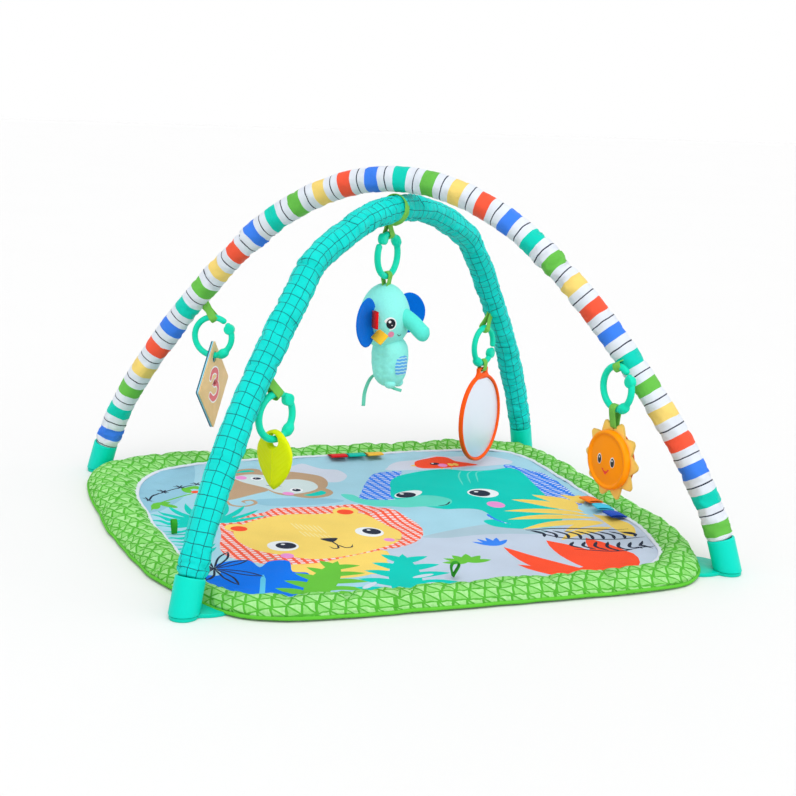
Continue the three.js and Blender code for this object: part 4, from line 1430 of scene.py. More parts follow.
# The middle of each ring, in millimetres, and the heading that its own X axis turns to.
STATIONS = {
    "card": ((-193.6, 182.6, 212), (0.851, -0.525)),
    "teether": ((-207.5, -199.5, 189.5), (0.87, 0.493)),
    "elephant": ((-19.5, -17.8, 347), (0.739, 0.674)),
    "mirror": ((207.5, 192.2, 190), (0.803, 0.596)),
    "sun": ((208, -216, 213.5), (0.202, -0.979)),
}
STRAP_INNER = 5
RING_REST = -RING_RADIUS + RING_SECTION + 1.1
WEBBING = cloth("strap_webbing_cloth", srgb(122, 200, 84), 0.0013, 0.0003, 0.08)

# A plate drawn in X and Y stands up facing -Y, or turns to face along X.
STANDING = Matrix.Rotation(pi / 2, 4, "X")
SIDEWAYS = Matrix(((0, 0, 1, 0), (1, 0, 0, 0), (0, 1, 0, 0), (0, 0, 0, 1)))


def shifted(x=0, y=0, z=0):
    """A move by millimetres."""
    return Matrix.Translation((x * MM, y * MM, z * MM))


def station(name):
    """A ring's own frame: its middle, with X along the ring's plane and Z up."""
    at, along = STATIONS[name]
    turn = Matrix.Rotation(atan2(along[1], along[0]), 4, "Z")
    return Matrix.Translation(Vector(at) * MM) @ turn


def strap_section(width):
    """A strap's cut end: flat webbing with soft corners."""
    return rounded_bar(STRAP_THICKNESS, width, 0.5, 2)


def ring_strap(name, node, arch):
    """A doubled strap that goes round a ring's top and up to the nearest part of a sleeve."""
    at = np.array(STATIONS[name][0], float) + (0, 0, RING_RADIUS)
    line = bar_line(arch, 1.0)
    nearest = line[int(np.argmin(np.linalg.norm(line - at - (0, 0, 12), axis=1)))]
    towards = nearest - at
    rise = np.linalg.norm(towards) - SLEEVE_RADIUS + 3.5
    radius = STRAP_INNER + STRAP_THICKNESS / 2
    path = [(1.5, -1.0, rise), (1.2, -1.6, rise * 0.7), (0.9, -2.8, rise * 0.45)]
    for k in range(9):
        angle = pi + pi * k / 8
        path.append((0.6 - 0.15 * k, radius * cos(angle), radius * sin(angle)))
    path += [(-0.9, 2.8, rise * 0.45), (-1.6, 1.6, rise * 0.7), (-2.2, 1.0, rise)]
    line = resample(smooth_line(path, 5), count=60)
    section = strap_section(STRAP_WIDTH)
    strap = sweep("strap_" + name + "_webbing", line, section, WEBBING, up=(1, 0, 0))
    where = station(name)
    local = where.to_3x3().inverted() @ Vector(towards)
    lean = Vector((0, 0, 1)).rotation_difference(local).to_matrix().to_4x4()
    put(strap, "toy_bars", "strap_webbing", node, matrix=where @ shifted(z=RING_RADIUS) @ lean)


def hanging_loop(name, body, width, below, drop, node, matrix):
    """A closed strap round a ring's lowest point and round something under it."""
    path = []
    for start, inner, down in ((0, STRAP_INNER, 0), (pi, below, drop)):
        reach = inner + STRAP_THICKNESS / 2
        for k in range(13):
            angle = start + pi * k / 12
            path.append((0, reach * cos(angle), reach * sin(angle) - down))
    line = resample(path, count=70, closed=True)
    line[:, 0] += 0.5 * np.sin(np.linspace(0, 4 * pi, 70))
    loop = sweep(name, line, strap_section(width), WEBBING, closed=True, up=(1, 0, 0))
    put(loop, body, "strap_webbing", node, matrix=matrix @ shifted(z=-RING_RADIUS))


def make_straps():
    """The straps that hold the rings, and the band round the bars where they cross."""
    hung_from = {"card": "striped", "teether": "teal", "mirror": "teal", "sun": "striped"}
    for name, arch in hung_from.items():
        ring_strap(name, "strap_" + name, arch)
    ring_strap("elephant", "strap_centre", "teal")
    line = bar_line("teal", 1.0)
    middle = line[int(np.argmin(np.abs(line @ np.array((FOOT_X, FOOT_Y, 0)) / HALF_DIAGONAL + 13)))]
    radius = SLEEVE_RADIUS + 1.2
    band = []
    for k in range(64):
        angle = 2 * pi * k / 64
        ripple = 0.5 * wobble(3 * cos(angle), 3 * sin(angle), 4)
        band.append((0, (radius + ripple) * cos(angle), 1.06 * (radius + ripple) * sin(angle)))
    section = strap_section(STRAP_WIDTH)
    band = sweep("strap_centre_band", band, section, WEBBING, closed=True, up=(1, 0, 0))
    heading = Matrix.Rotation(DIAGONAL, 4, "Z")
    matrix = Matrix.Translation(Vector(middle * MM)) @ heading @ Matrix.Rotation(0.32, 4, "Y")
    put(band, "toy_bars", "strap_webbing", "strap_centre", matrix=matrix)


def make_ring(name, material):
    """An open ring link with a thick lobe at one place and a round knob at another."""
    gate = GATES[name]
    turn = copysign(1, gate[0] - gate[1])
    slit = gate[0] + turn * 21
    count = 120
    degrees = slit + np.linspace(1.6, 358.4, count)
    line = []
    size = []
    for k, angle in enumerate(degrees):
        a = radians(angle)
        off = (angle - gate[1] + 180) % 360 - 180
        lobe = exp(-((off / 13) ** 4))
        from_end = min(k, count - 1 - k)
        size.append((1 + 0.6 * lobe) * (1 - 0.55 * exp(-from_end / 0.7)))
        reach = RING_RADIUS + 0.6 * lobe
        line.append((reach * cos(a), 0, reach * sin(a)))
    section = circle(RING_SECTION, 22)
    hoop = sweep("ring_hoop_" + name, line, section, material, up=(0, 1, 0), scale=size)
    put(hoop, "ring_" + name, "ring_plastic", "ring_link_" + name, matrix=station(name))
    profile = [
        (0.01, -4.6), (5, -4.6), (6.3, -4.1), (7, -3), (7.1, 0), (7, 3), (6.3, 4.1), (5, 4.6),
        (0.01, 4.6),
    ]
    knob = lathe("ring_knob_" + name, smooth_line(profile, 3), material, 40)
    a = radians(gate[0])
    at = shifted((RING_RADIUS - 1) * cos(a), 0, (RING_RADIUS - 1) * sin(a))
    where = station(name) @ at @ STANDING
    put(knob, "ring_" + name, "ring_plastic", "ring_link_" + name, matrix=where)


def make_rings():
    material = plastic("ring_plastic", srgb(16, 212, 176), 0.3, 0.00003, Subsurface_Weight=0.06)
    for name in STATIONS:
        make_ring(name, material)


# ---- Toys ----

CARD_PITCH = 1.85
CARD_THICKNESS = 1.4
CARD_CENTRE = -66.3
LEAF_BROADEST = 0.6
MIRROR_CENTRE = -107
SUN_CENTRE = -88.5
SUN_RAYS = 10
BLOB_SIDES = 64


def decal(name, outline, surface, material, lift, step=1.2):
    """A thin print or patch that follows a surface. surface(x, z) gives the depth y there."""
    outline = np.asarray(outline, float)
    low = outline.min(0)
    high = outline.max(0)
    xs, zs = (np.arange(low[k], high[k], step) for k in (0, 1))
    grid = np.array([(x, z) for x in xs for z in zs])
    shrunk = outline.mean(0) + (outline - outline.mean(0)) * 0.93
    grid = grid[inside(grid, shrunk)] if len(grid) else grid
    points = [Vector(p) for p in outline] + [Vector(p) for p in grid]
    edges = [(k, (k + 1) % len(outline)) for k in range(len(outline))]
    verts, _, faces, *_ = delaunay_2d_cdt(points, edges, [], 1, 1e-4)
    verts = np.array([tuple(v) for v in verts])
    placed = [(x * MM, (surface(x, z) - lift) * MM, z * MM) for x, z in verts]
    uvs = [verts[v] * MM for face in faces for v in face]
    return new_piece(name, placed, [tuple(f) for f in faces], material, uvs)


def rounded_square(side, corner, count=7):
    """A square with round corners, standing on one of them."""
    tip = side / 2 - corner
    made = []
    for quarter in range(4):
        for k in range(count):
            angle = pi / 2 * (quarter + k / (count - 1))
            middle = pi / 2 * (quarter + 0.5)
            x = copysign(tip, cos(middle)) + corner * cos(angle)
            y = copysign(tip, sin(middle)) + corner * sin(angle)
            made.append(((x - y) * sqrt(0.5), (x + y) * sqrt(0.5)))
    return made


def board_material(name, colour, speckle):
    """Pressed board with a printed face: fine speckle, faint fibres, a satin coat."""
    shade = Shade(name, Roughness=0.5)
    fibre = shade.spread(shade.cloud(700, 3, 0.7), 0.35, 0.75)
    tone = shade.mix(shade.math("MULTIPLY", fibre, 0.35), colour, speckle)
    shade.colour(shade.varied(tone, 0.07, 40))
    shade.roughness(shade.spread(shade.cloud(90, 3), 0.3, 0.7, 0.42, 0.6))
    shade.bump(shade.cloud(900, 3), 0.00005)
    return shade.material


def ink_material(name, colour, rough=0.5):
    """Printed ink: one colour, a little uneven in tone and shine."""
    shade = Shade(name)
    shade.colour(shade.varied(colour, 0.05, 120))
    shade.roughness(shade.spread(shade.cloud(500, 2), 0.3, 0.7, rough - 0.06, rough + 0.08))
    shade.bump(shade.cloud(1600, 2), 0.00003)
    return shade.material


def round_ended(line, half):
    """The points and faces of a flat band along a line, with a half disc on each end."""
    ahead = np.gradient(line, axis=0)
    ahead /= np.linalg.norm(ahead, axis=1)[:, None]
    normal = np.stack([-ahead[:, 1], ahead[:, 0]], 1) * half
    verts = []
    for p, n in zip(line, normal):
        verts.extend([(*(p + n) * MM, 0), (*(p - n) * MM, 0)])
    faces = [(2 * k, 2 * k + 1, 2 * k + 3, 2 * k + 2) for k in range(len(line) - 1)]
    for k, quarter in ((0, pi / 2), (len(line) - 1, -pi / 2)):
        first = len(verts)
        spin = atan2(ahead[k][1], ahead[k][0]) + quarter
        for a in np.linspace(spin, spin + pi, 13):
            x, y = line[k] + half * np.array((cos(a), sin(a)))
            verts.append((x * MM, y * MM, 0))
        faces.append(tuple(range(first, first + 13)))
    return verts, faces


def make_cards():
    """Three square boards on one ring; the front one has a printed numeral."""
    front = board_material("card_face_board", srgb(232, 196, 138), srgb(214, 164, 104))
    layers = {
        "card_back": (
            board_material("card_back_board", srgb(28, 98, 120), srgb(14, 70, 92)), -CARD_PITCH,
        ),
        "card_middle": (
            board_material("card_middle_board", srgb(150, 214, 240), srgb(120, 186, 222)), 0,
        ),
        "card_front": (front, CARD_PITCH),
    }
    square = rounded_square(86, 3)
    hole = oval(0, RING_REST - 7.5 - CARD_CENTRE, 7.5, count=36)
    for name, (material, x) in layers.items():
        card = plate(name + "_board", [square, hole], CARD_THICKNESS, 0.35, material)
        where = station("card") @ shifted(x, 0, CARD_CENTRE) @ SIDEWAYS
        put(card, name, "card_face" if name == "card_front" else "card_backing", name, matrix=where)
    figure = smooth_line([(-15, 12), (-9, 18.5), (3, 19.5), (12.5, 14), (10, 5), (-3, 1.5)], 8)
    lower = smooth_line([(-3, 1.5), (11, -0.5), (16, -8.5), (10, -17), (-4, -19), (-16.5, -12)], 8)
    line = np.vstack([figure, lower[1:]])
    for name, width, lift, colour in (
        ("card_figure_edge", 11.5, 0.06, srgb(244, 240, 240)),
        ("card_figure", 7.6, 0.12, srgb(226, 98, 108)),
    ):
        verts, faces = round_ended(line, width / 2)
        numeral = new_piece(name, verts, faces, ink_material(name + "_ink", colour))
        depth = CARD_PITCH + CARD_THICKNESS / 2 + lift
        where = station("card") @ shifted(depth, 0, CARD_CENTRE) @ SIDEWAYS
        put(numeral, "card_front", "card_face", matrix=where)


def leaf_silicone():
    """Silicone with a raised midrib and slanting veins, from UVs across and up the leaf."""
    shade = Shade("leaf_silicone", Subsurface_Weight=0.05, Specular_IOR_Level=0.12)
    u, v = shade.uv()
    side = shade.math("ABSOLUTE", u)
    rib = shade.spread(side, 0.0006, 0.0022, 1.0, 0.0)
    slant = shade.math("MULTIPLY_ADD", side, -0.9, v)
    vein = shade.spread(shade.math("PINGPONG", slant, 0.0032), 0.0002, 0.0011, 1.0, 0.0)
    shade.colour(shade.varied(srgb(212, 222, 0), 0.05, 40))
    shade.roughness(shade.spread(shade.cloud(140, 4), 0.3, 0.75, 0.4, 0.55))
    raised = shade.math("MAXIMUM", shade.math("MULTIPLY", vein, 0.35), rib)
    shade.bump(shade.math("MULTIPLY_ADD", shade.cloud(1200, 2), 0.08, raised), 0.0006)
    return shade.material


def make_leaf():
    """A chewable leaf with crowned faces, a rounded rim and a hole for its ring."""
    top = -15
    bottom = -84.4
    half_width = 27.5
    half_thick = 5
    rows = []
    levels = 64
    sides = 48
    for i in range(levels + 1):
        t = 0.5 - 0.5 * cos(pi * i / levels)
        z = bottom + (top - bottom) * t
        if t < LEAF_BROADEST:
            wide = half_width * sin(pi / 2 * t / LEAF_BROADEST) ** 0.8
        else:
            wide = half_width * cos(pi / 2 * (t - LEAF_BROADEST) / (1 - LEAF_BROADEST)) ** 0.6
        wide = max(wide, 0.05)
        ring = []
        for a in turns(sides):
            c = copysign(abs(cos(a)) ** 0.85, cos(a))
            s = copysign(abs(sin(a)) ** 0.7, sin(a))
            flat = min(1, wide / 9) ** 0.6
            thick = half_thick * flat * (0.82 + 0.18 * (1 - c * c))
            ring.append((thick * s, wide * c, z))
        rows.append(ring)
    uv = [[(ring[j % sides][1] * MM, ring[0][2] * MM) for j in range(sides + 1)] for ring in rows]
    silicone = leaf_silicone()
    leaf = grid_piece("leaf_silicone_teether", np.array(rows) * MM, silicone, uv, ends=True)
    outward(leaf)
    profile = [
        (0.01, -12), (13, -12), (9.4, -4.6), (7.6, -2.4), (7, 0), (7.6, 2.4), (9.4, 4.6), (13, 12),
        (0.01, 12),
    ]
    cutter = lathe("leaf_hole", smooth_line(profile, 3), silicone, 40)
    cutter.data.transform(shifted(z=RING_REST - 7) @ SIDEWAYS)
    carve(leaf, cutter)
    where = station("teether")
    put(crease(leaf, 50), "leaf_teether", "teether_rubber", "leaf_teether", matrix=where)


def carve(piece, cutter):
    """Takes the cutter's shape out of a piece."""
    modifier = piece.modifiers.new("hole", "BOOLEAN")
    modifier.object = cutter
    modifier.operation = "DIFFERENCE"
    modifier.solver = "EXACT"
    mesh = evaluated_mesh(piece)
    piece.modifiers.clear()
    piece.data = mesh
    bpy.data.objects.remove(cutter)


def ellipse_sweep(name, half_x, half_z, section, material, count=120):
    """A section carried round an upright ellipse that faces along Y."""
    angles = np.linspace(0, 2 * pi, count, endpoint=False)
    line = [(half_x * cos(a), 0, half_z * sin(a)) for a in angles]
    return sweep(name, line, section, material, closed=True, up=(0, 1, 0))


def make_mirror():
    """A foil mirror in an oval frame with a slotted lug, and ridges on its back."""
    where = station("mirror")
    centre = shifted(z=MIRROR_CENTRE)
    orange = plastic("mirror_frame_plastic", srgb(255, 88, 8), 0.34, 0.00004)
    rim = ellipse_sweep("mirror_rim", 52.6, 62.6, rounded_bar(4.7, 6.8, 2.1, 4), orange)
    put(rim, "mirror", "mirror_frame_plastic", "mirror_frame", matrix=where @ centre)
    lug = shape(
        (-11, -32), (11, -32), (13, -40), (17, -48), (0, -49), (-17, -48), (-13, -40), steps=6,
    )
    lug = [(x, min(z, -32.2)) for x, z in lug]
    slot = [(x, z - 37.7) for x, z in rounded_bar(14, 5, 2, 4)]
    lug = plate("mirror_lug", [lug, slot], 5, 1.2, orange)
    put(lug, "mirror", "mirror_frame_plastic", "mirror_frame", matrix=where @ STANDING)
    behind = where @ centre @ shifted(y=1.9)
    back = plate("mirror_back", [oval(0, 0, 51.5, 61.5, count=96)], 1.4, 0.4, orange)
    put(back, "mirror", "mirror_frame_plastic", "mirror_frame", matrix=behind @ STANDING)
    for k, (half_x, half_z) in enumerate(((45, 55), (14, 17))):
        ridge = ellipse_sweep(f"mirror_back_ridge_{k}", half_x, half_z, circle(1.0, 10), orange)
        put(ridge, "mirror", "mirror_frame_plastic", matrix=behind @ shifted(y=0.9))
    shade = Shade("mirror_foil", srgb(230, 236, 246), Metallic=0.75)
    shade.roughness(shade.spread(shade.cloud(60, 3), 0.3, 0.7, 0.42, 0.5))
    shade.bump(shade.cloud(9, 2), 0.0012, 0.25)
    foil = plate("mirror_foil_plate", [oval(0, 0, 49.8, 59.8, count=96)], 1.8, 0.4, shade.material)
    put(foil, "mirror", "mirror_foil", "mirror_plate", matrix=where @ centre @ STANDING)
    hanging_loop("mirror_loop_webbing", "mirror", 10, 3.9, 7.6, "mirror_loop", where)


def make_sun():
    """A rattle: a domed face and a back cup, with a star of felt rays between them."""
    where = station("sun")
    centre = where @ shifted(z=SUN_CENTRE)
    amber = plastic("sun_face_plastic", srgb(255, 148, 0), 0.36, 0.00005)
    dark = plastic("sun_back_plastic", srgb(212, 98, 24), 0.4, 0.00005)
    dome = [
        (0.01, 9.6), (10, 9.5), (20, 9.0), (28, 8.2), (31.5, 7.7), (32.3, 8.0), (33, 9.2),
        (34.4, 9.9), (36.4, 9.6), (37.6, 8.2), (38, 6), (38, 2.2), (36.5, 1.7), (30, 1.7), (30, 5),
        (0.01, 6.5),
    ]
    face = lathe("sun_face_dome", dome, amber, 72)
    face.data.transform(Matrix.Diagonal((0.96, 0.96, 1, 1)))
    put(crease(face, 50), "sun_rattle", "sun_plastic", "sun_face", matrix=centre @ STANDING)
    cup = [
        (0.01, 9.8), (18, 9.4), (28, 8.0), (34, 6.2), (37.2, 4.2), (38, 2.2), (36.5, 1.7),
        (30, 1.7), (30, 4), (0.01, 6.5),
    ]
    back = lathe("sun_back_cup", cup, dark, 72)
    away = centre @ Matrix.Rotation(pi, 4, "Z") @ STANDING
    put(crease(back, 50), "sun_rattle", "sun_back_plastic", "sun_back", matrix=away)
    outline = []
    for a in turns(240):
        wave = abs((a * SUN_RAYS / (2 * pi) % 1) * 2 - 1)
        reach = 37.5 + 13.3 * wave**1.1 - 2.0 * max(0, wave - 0.85) / 0.15
        around = a + pi / SUN_RAYS
        outline.append((reach * sin(around), reach * cos(around)))
    felt = cloth("ray_cloth", srgb(252, 208, 104), 0.001, 0.0003)
    rays = plate("sun_rays_cloth", [outline, oval(0, 0, 26, count=60)], 2.6, 1.0, felt)
    put(rays, "sun_rattle", "ray_cloth", "sun_rays", matrix=centre @ STANDING)
    for piece in sun_face_prints():
        put(piece, "sun_rattle", "sun_plastic", matrix=centre)
    hanging_loop("sun_loop_webbing", "sun_rattle", 11, 1.7, 20.9, "sun_loop", where)
    dress("rattle_bead", plastic("bead_plastic", srgb(240, 240, 240)))


def sun_face_prints():
    """Two eyes and a smile with a tongue, laid on the sun's domed face."""

    def surface(x, z):
        return -9.6 + 1.5 * (x * x + z * z) / (28 * 28)

    white = ink_material("sun_eye_white", srgb(240, 240, 240), 0.35)
    black = ink_material("sun_eye_black", srgb(30, 28, 32), 0.3)
    red = ink_material("sun_smile_red", srgb(236, 30, 30), 0.4)
    prints = []
    for side in (-1, 1):
        x = side * 12
        for part, outline, ink, lift in (
            ("white", oval(x, -0.5, 4.0, 6.4), white, 0.15),
            ("black", oval(x + 0.2, -0.8, 3.3, 5.5), black, 0.25),
            ("light", oval(x - 0.2, 1.6, 0.9, 1.2), white, 0.35),
        ):
            prints.append(decal(f"sun_eye_{part}_{side + 1}", outline, surface, ink, lift))
    smile = stroke(2.0, (-5, -11.5), (-3.4, -14), (0, -15.2), (3.4, -14), (5, -11.5))
    mouth = [("sun_smile", smile, 0.2)]
    for k, x in enumerate((-5.2, 5.2)):
        end = stroke(1.4, (x - 1.6, -10.8), (x, -12.0), (x + 1.6, -10.8))
        mouth.append((f"sun_smile_end_{k}", end, 0.2))
    tongue = shape((-2.4, -14), (2.4, -14), (1.6, -17), (0, -18), (-1.6, -17))
    mouth.append(("sun_tongue", tongue, 0.22))
    prints += [decal(name, outline, surface, red, lift, 0.8) for name, outline, lift in mouth]
    return prints


def blob(name, centre, radii, material, shape_at=None):
    """A stuffed form: an ellipsoid, widened by shape_at(angle, height from -1 to 1)."""
    rows = []
    levels = 56
    sides = BLOB_SIDES
    for i in range(levels + 1):
        h = -cos(pi * i / levels)
        ring = []
        for angle in turns(sides):
            flat = sqrt(max(0, 1 - h * h)) * (shape_at(angle, h) if shape_at else 1) + 0.0005
            x = centre[0] + radii[0] * flat * cos(angle)
            y = centre[1] + radii[1] * flat * sin(angle)
            ring.append((x, y, centre[2] + radii[2] * h))
        rows.append(ring)
    around = 2 * pi * max(radii[:2])
    tall = pi * radii[2]
    edges = [around * j / sides * MM for j in range(sides + 1)]
    uv = [[(u, tall * i / levels * MM) for u in edges] for i in range(levels + 1)]
    return outward(grid_piece(name, np.array(rows) * MM, material, uv, ends=True))


def plush(name, colour):
    """Short-pile plush: soft sheen, tufts with painted shade in their hollows, and fine brushed
    fuzz.
    """
    shade = Shade(
        name, Roughness=0.9, Specular_IOR_Level=0.05, Sheen_Weight=0.12, Sheen_Roughness=0.4,
    )
    tufts = shade.cloud(420, 3, 0.6)
    fuzz = shade.cloud(1500, 2)
    # Painted shade: the colour is a little darker in the hollows between the tufts.
    dark = shade.mix(0.05, colour, BLACK, "MULTIPLY")
    shade.colour(shade.mix(shade.spread(tufts, 0.3, 0.6), dark, shade.varied(colour, 0.025, 30)))
    shade.bump(shade.math("MULTIPLY_ADD", fuzz, 0.5, tufts), 0.0003)
    return shade.material


HEAD_AT = (5, 3.2, -78)
HEAD_RADII = (31.5, 31, 41.5)
BODY_AT = (8, -5, -134.5)
BODY_RADII = (21.5, 21.5, 33)
EAR_HALF_WIDTH = 21


def seam_dip(angle, depth, width=0.1):
    """How far a stuffed form pulls in at its two side seams."""
    return depth * bell(sin(angle), 0, width)


def head_shape(angle, h):
    """An egg, broader below its middle, pulled in at its side seams."""
    egg = 1 - 0.05 * h * (1 - h * h) + 0.03 * (1 - h * h)
    soft = 0.012 * wobble(2 * cos(angle), 2 * sin(angle), 2 * h)
    dip = seam_dip(angle, 0.02) * sqrt(max(0, 1 - h * h))
    return egg + soft - dip


def body_shape(angle, h):
    """A bag with upright sides and a rounded foot, pulled in at its side seams."""
    upright = min(2.2, (1 - abs(h) ** 3.4) ** 0.5 / sqrt(max(1e-4, 1 - h * h))) if abs(h) < 1 else 1
    pucker = 0.03 * wobble(4 * cos(angle), 4 * sin(angle), 6 * h + 9)
    dip = seam_dip(angle, 0.07, 0.16) * sqrt(max(0, 1 - h * h))
    return upright * (1.04 + 0.09 * h + pucker - dip)


def facing_out(centre, radii, degrees, z, shape_at):
    """A frame on a stuffed form, at an angle from -X towards -Y, whose -Y looks outwards."""
    h = (z - centre[2]) / radii[2]
    angle = pi + radians(degrees)
    flat = sqrt(max(0, 1 - h * h)) * shape_at(angle, h)
    c = cos(angle)
    s = sin(angle)
    back = -Vector((c / radii[0] * flat, s / radii[1] * flat, h / radii[2])).normalized()
    right = back.cross(Vector((0, 0, 1))).normalized()
    matrix = Matrix((right, back, right.cross(back))).transposed().to_4x4()
    return shifted(centre[0] + radii[0] * flat * c, centre[1] + radii[1] * flat * s, z) @ matrix


def sewn_on(name, outline, form, centre, radii, degrees, z, shape_at, material, lift):
    """A print that follows a stuffed form, drawn flat round one of its points."""
    curve_x = (radii[0] + radii[1]) / 2
    curve_z = radii[2] ** 2 / curve_x

    def surface(x, dz):
        return x * x / (2 * curve_x) + dz * dz / (2 * curve_z)

    piece = decal(name, outline, surface, material, lift, 0.9)
    at = facing_out(centre, radii, degrees, z, shape_at)
    laid_on(piece, at, form, lift)
    return piece, at


def make_ear(name, side, turn, height, material):
    """A cupped ear of two cloth layers with a stitched rim."""
    rows = []
    rings = 18
    sides = 56
    for layer in (1, -1):
        steps = range(rings + 1) if layer > 0 else range(rings - 1, -1, -1)
        for i in steps:
            t = i / rings
            ring = []
            for a in turns(sides):
                x = EAR_HALF_WIDTH * t * cos(a)
                z = height * t * sin(a) * (1 - 0.08 * side * cos(a))
                cup = 4.2 * (1 - t * t) + 0.4 * wobble(x / 9, z / 9, side)
                thick = 1.9 * sqrt(max(0, 1 - t**5)) + 0.35 * bell(t, 0.93, 0.03)
                ring.append((side * EAR_HALF_WIDTH + x, cup - 1.6 + layer * -thick, z))
            rows.append(ring)
    uv = [[(0.1 * j / sides, 0.0015 * i) for j in range(sides + 1)] for i in range(len(rows))]
    ear = outward(grid_piece("plush_" + name, np.array(rows) * MM, material, uv))
    where = shifted(5 + side * 24, 3, -50 - height) @ Matrix.Rotation(turn, 4, "Z")
    put(ear, "elephant", "ear_cloth", "elephant_" + name, matrix=station("elephant") @ where)


def laid_on(piece, at, form, lift):
    """Lays a sewn-on piece against a form, after the form has swelled."""
    tree = BVHTree.FromPolygons(
        [v.co for v in form.data.vertices], [p.vertices for p in form.data.polygons],
    )
    back = at.inverted()
    inward = (at.to_3x3() @ Vector((0, 1, 0))).normalized()
    for vertex in piece.data.vertices:
        outside = at @ Vector((vertex.co.x, -20 * MM, vertex.co.z))
        hit = tree.ray_cast(outside, inward, 60 * MM)[0]
        if hit:
            vertex.co.y = (back @ hit).y - lift * MM
    piece.data.update()


def seam_points(centre, piece):
    """The points of a stuffed form that lie in its two side seams."""
    return [v.index for v in piece.data.vertices if abs(v.co.y - centre[1] * MM) < 1.2 * MM]


def make_elephant():
    """The stuffed elephant, which hangs by a strap from its ring."""
    where = station("elephant")
    skin = plush("plush_aqua", srgb(140, 233, 225))
    nose = plush("plush_trunk", srgb(90, 223, 207))
    blue = plush("plush_ear_blue", srgb(0, 108, 216))
    head = blob("elephant_head_plush", HEAD_AT, HEAD_RADII, skin, head_shape)
    body = blob("elephant_body_plush", BODY_AT, BODY_RADII, skin, body_shape)
    settled(head, range(2 * BLOB_SIDES), 0.01, 1.2)
    held = list(range(6 * BLOB_SIDES)) + seam_points(BODY_AT, body)
    settled(body, held, 0.015, 1.6, pressure=2.0, bending=4)
    for piece, node, fill in ((head, "elephant_head", 0.8), (body, "elephant_body", 0.7)):
        put(piece, "elephant", "plush_cloth", node, matrix=where)
    path = [(-15, -71), (-27, -76), (-38, -82.5), (-47, -90), (-54, -95), (-59.5, -97)]
    line = resample(smooth_line([(5, y, z) for y, z in path], 8), count=36)
    size = [1.0] * 36
    for k in range(6):
        size[-1 - k] = sqrt(max(0.0009, 1 - (1 - k / 6) ** 2))
    trunk = sweep("elephant_trunk_plush", line, circle(10.2, 36), nose, up=(1, 0, 0), scale=size)
    put(trunk, "elephant", "trunk_cloth", "elephant_trunk", matrix=where)
    make_ear("ear_near", -1, -0.12, 31, blue)
    make_ear("ear_far", 1, -0.75, 26, blue)
    make_elephant_ribbons(where)
    hanging_loop("elephant_loop_webbing", "elephant", 10, 1.4, 14.5, "elephant_loop", where)
    place = (BODY_AT, BODY_RADII, 73, -127.5, body_shape)
    patch = rounded_bar(20, 43, 5, 6)
    prints = face_prints(head)
    prints.append(sewn_on("elephant_belly_patch", patch, body, *place, belly_cloth(), 0.8))
    for piece, at in prints:
        put(piece, "elephant", "plush_cloth", matrix=where @ at)
    make_ear_tags(where)
    make_feet(where, skin)


def make_elephant_ribbons(where):
    """A ribbon for the tail and a short one that ties the feet."""
    tail = smooth_line([(6, 8, -150), (5, 20, -160), (4, 27, -178), (3, 28, -197)], 10)
    satin = cloth("tail_satin", srgb(110, 214, 190), 0.0007, 0.0001, 0.05, sheen=0.1)
    flat = rounded_bar(0.9, 5.2, 0.4, 2)
    tail = sweep("elephant_tail_ribbon", tail, flat, satin, up=(0.8, -0.6, 0))
    put(tail, "elephant", "trunk_cloth", "elephant_tail", matrix=where)
    tie = smooth_line([(0, -6, -164), (3, -15, -168), (9, -23, -171)], 8)
    tie = sweep("elephant_foot_ribbon", tie, rounded_bar(0.9, 4, 0.4, 2), satin, up=(0, 0, 1))
    put(tie, "elephant", "trunk_cloth", matrix=where)


def face_prints(head):
    """Sewn eyes, cheeks and half a smile on each side of the head, with where each lies."""
    white = cloth("eye_white_felt", srgb(244, 244, 246), 0.0006, 0.0001, 0.03)
    black = cloth("eye_black_thread", srgb(34, 38, 48), 0.0005, 0.0002, 0.04, sheen=0.1)
    pink = cloth("cheek_pink_thread", srgb(252, 150, 190), 0.0005, 0.0002, 0.04)
    prints = []
    smile = stroke(0.9, (-3.2, 1.0), (-1.6, -1.0), (0.6, -1.4), (2.6, 0.2), taper=False)
    for k, way in enumerate((1, -1)):
        for label, degrees, z, outline, material, lift in (
            ("eye_white", 41.7, -82.4, oval(0, 0, 8.2, 8.4, count=40), white, 0.4),
            ("eye_black", 41.7, -82.4, oval(0.8 * way, 0.2, 5.9, 6.4, count=36), black, 0.75),
            ("eye_light", 41.7, -82.4, oval(-0.8 * way, 2.8, 1.7), white, 1.0),
            ("eye_spark", 41.7, -82.4, oval(2.2 * way, -1.6, 0.7), white, 1.0),
            ("cheek", 46, -96, oval(0, 0, 4.0, 4.2), pink, 0.4),
            ("smile", 70, -97, smile, black, 0.4),
        ):
            name = f"elephant_{label}_{k}"
            at = degrees if way > 0 else 180 - degrees
            place = (HEAD_AT, HEAD_RADII, at, z, head_shape)
            prints.append(sewn_on(name, outline, head, *place, material, lift))
    return prints


def belly_cloth():
    """Pale cloth printed with wavy blue bars."""
    shade = Shade("belly_patch_cloth", Roughness=0.85, Sheen_Weight=0.3)
    u, v = shade.uv()
    wave = shade.math("MULTIPLY_ADD", shade.math("SINE", shade.math("MULTIPLY", u, 900)), 0.0003, v)
    bars = shade.math("GREATER_THAN", shade.math("PINGPONG", wave, 0.0021), 0.0008)
    shade.colour(shade.mix(bars, srgb(168, 226, 232), srgb(70, 166, 240)))
    shade.bump(shade.weave(0.0008), 0.0002)
    return shade.material


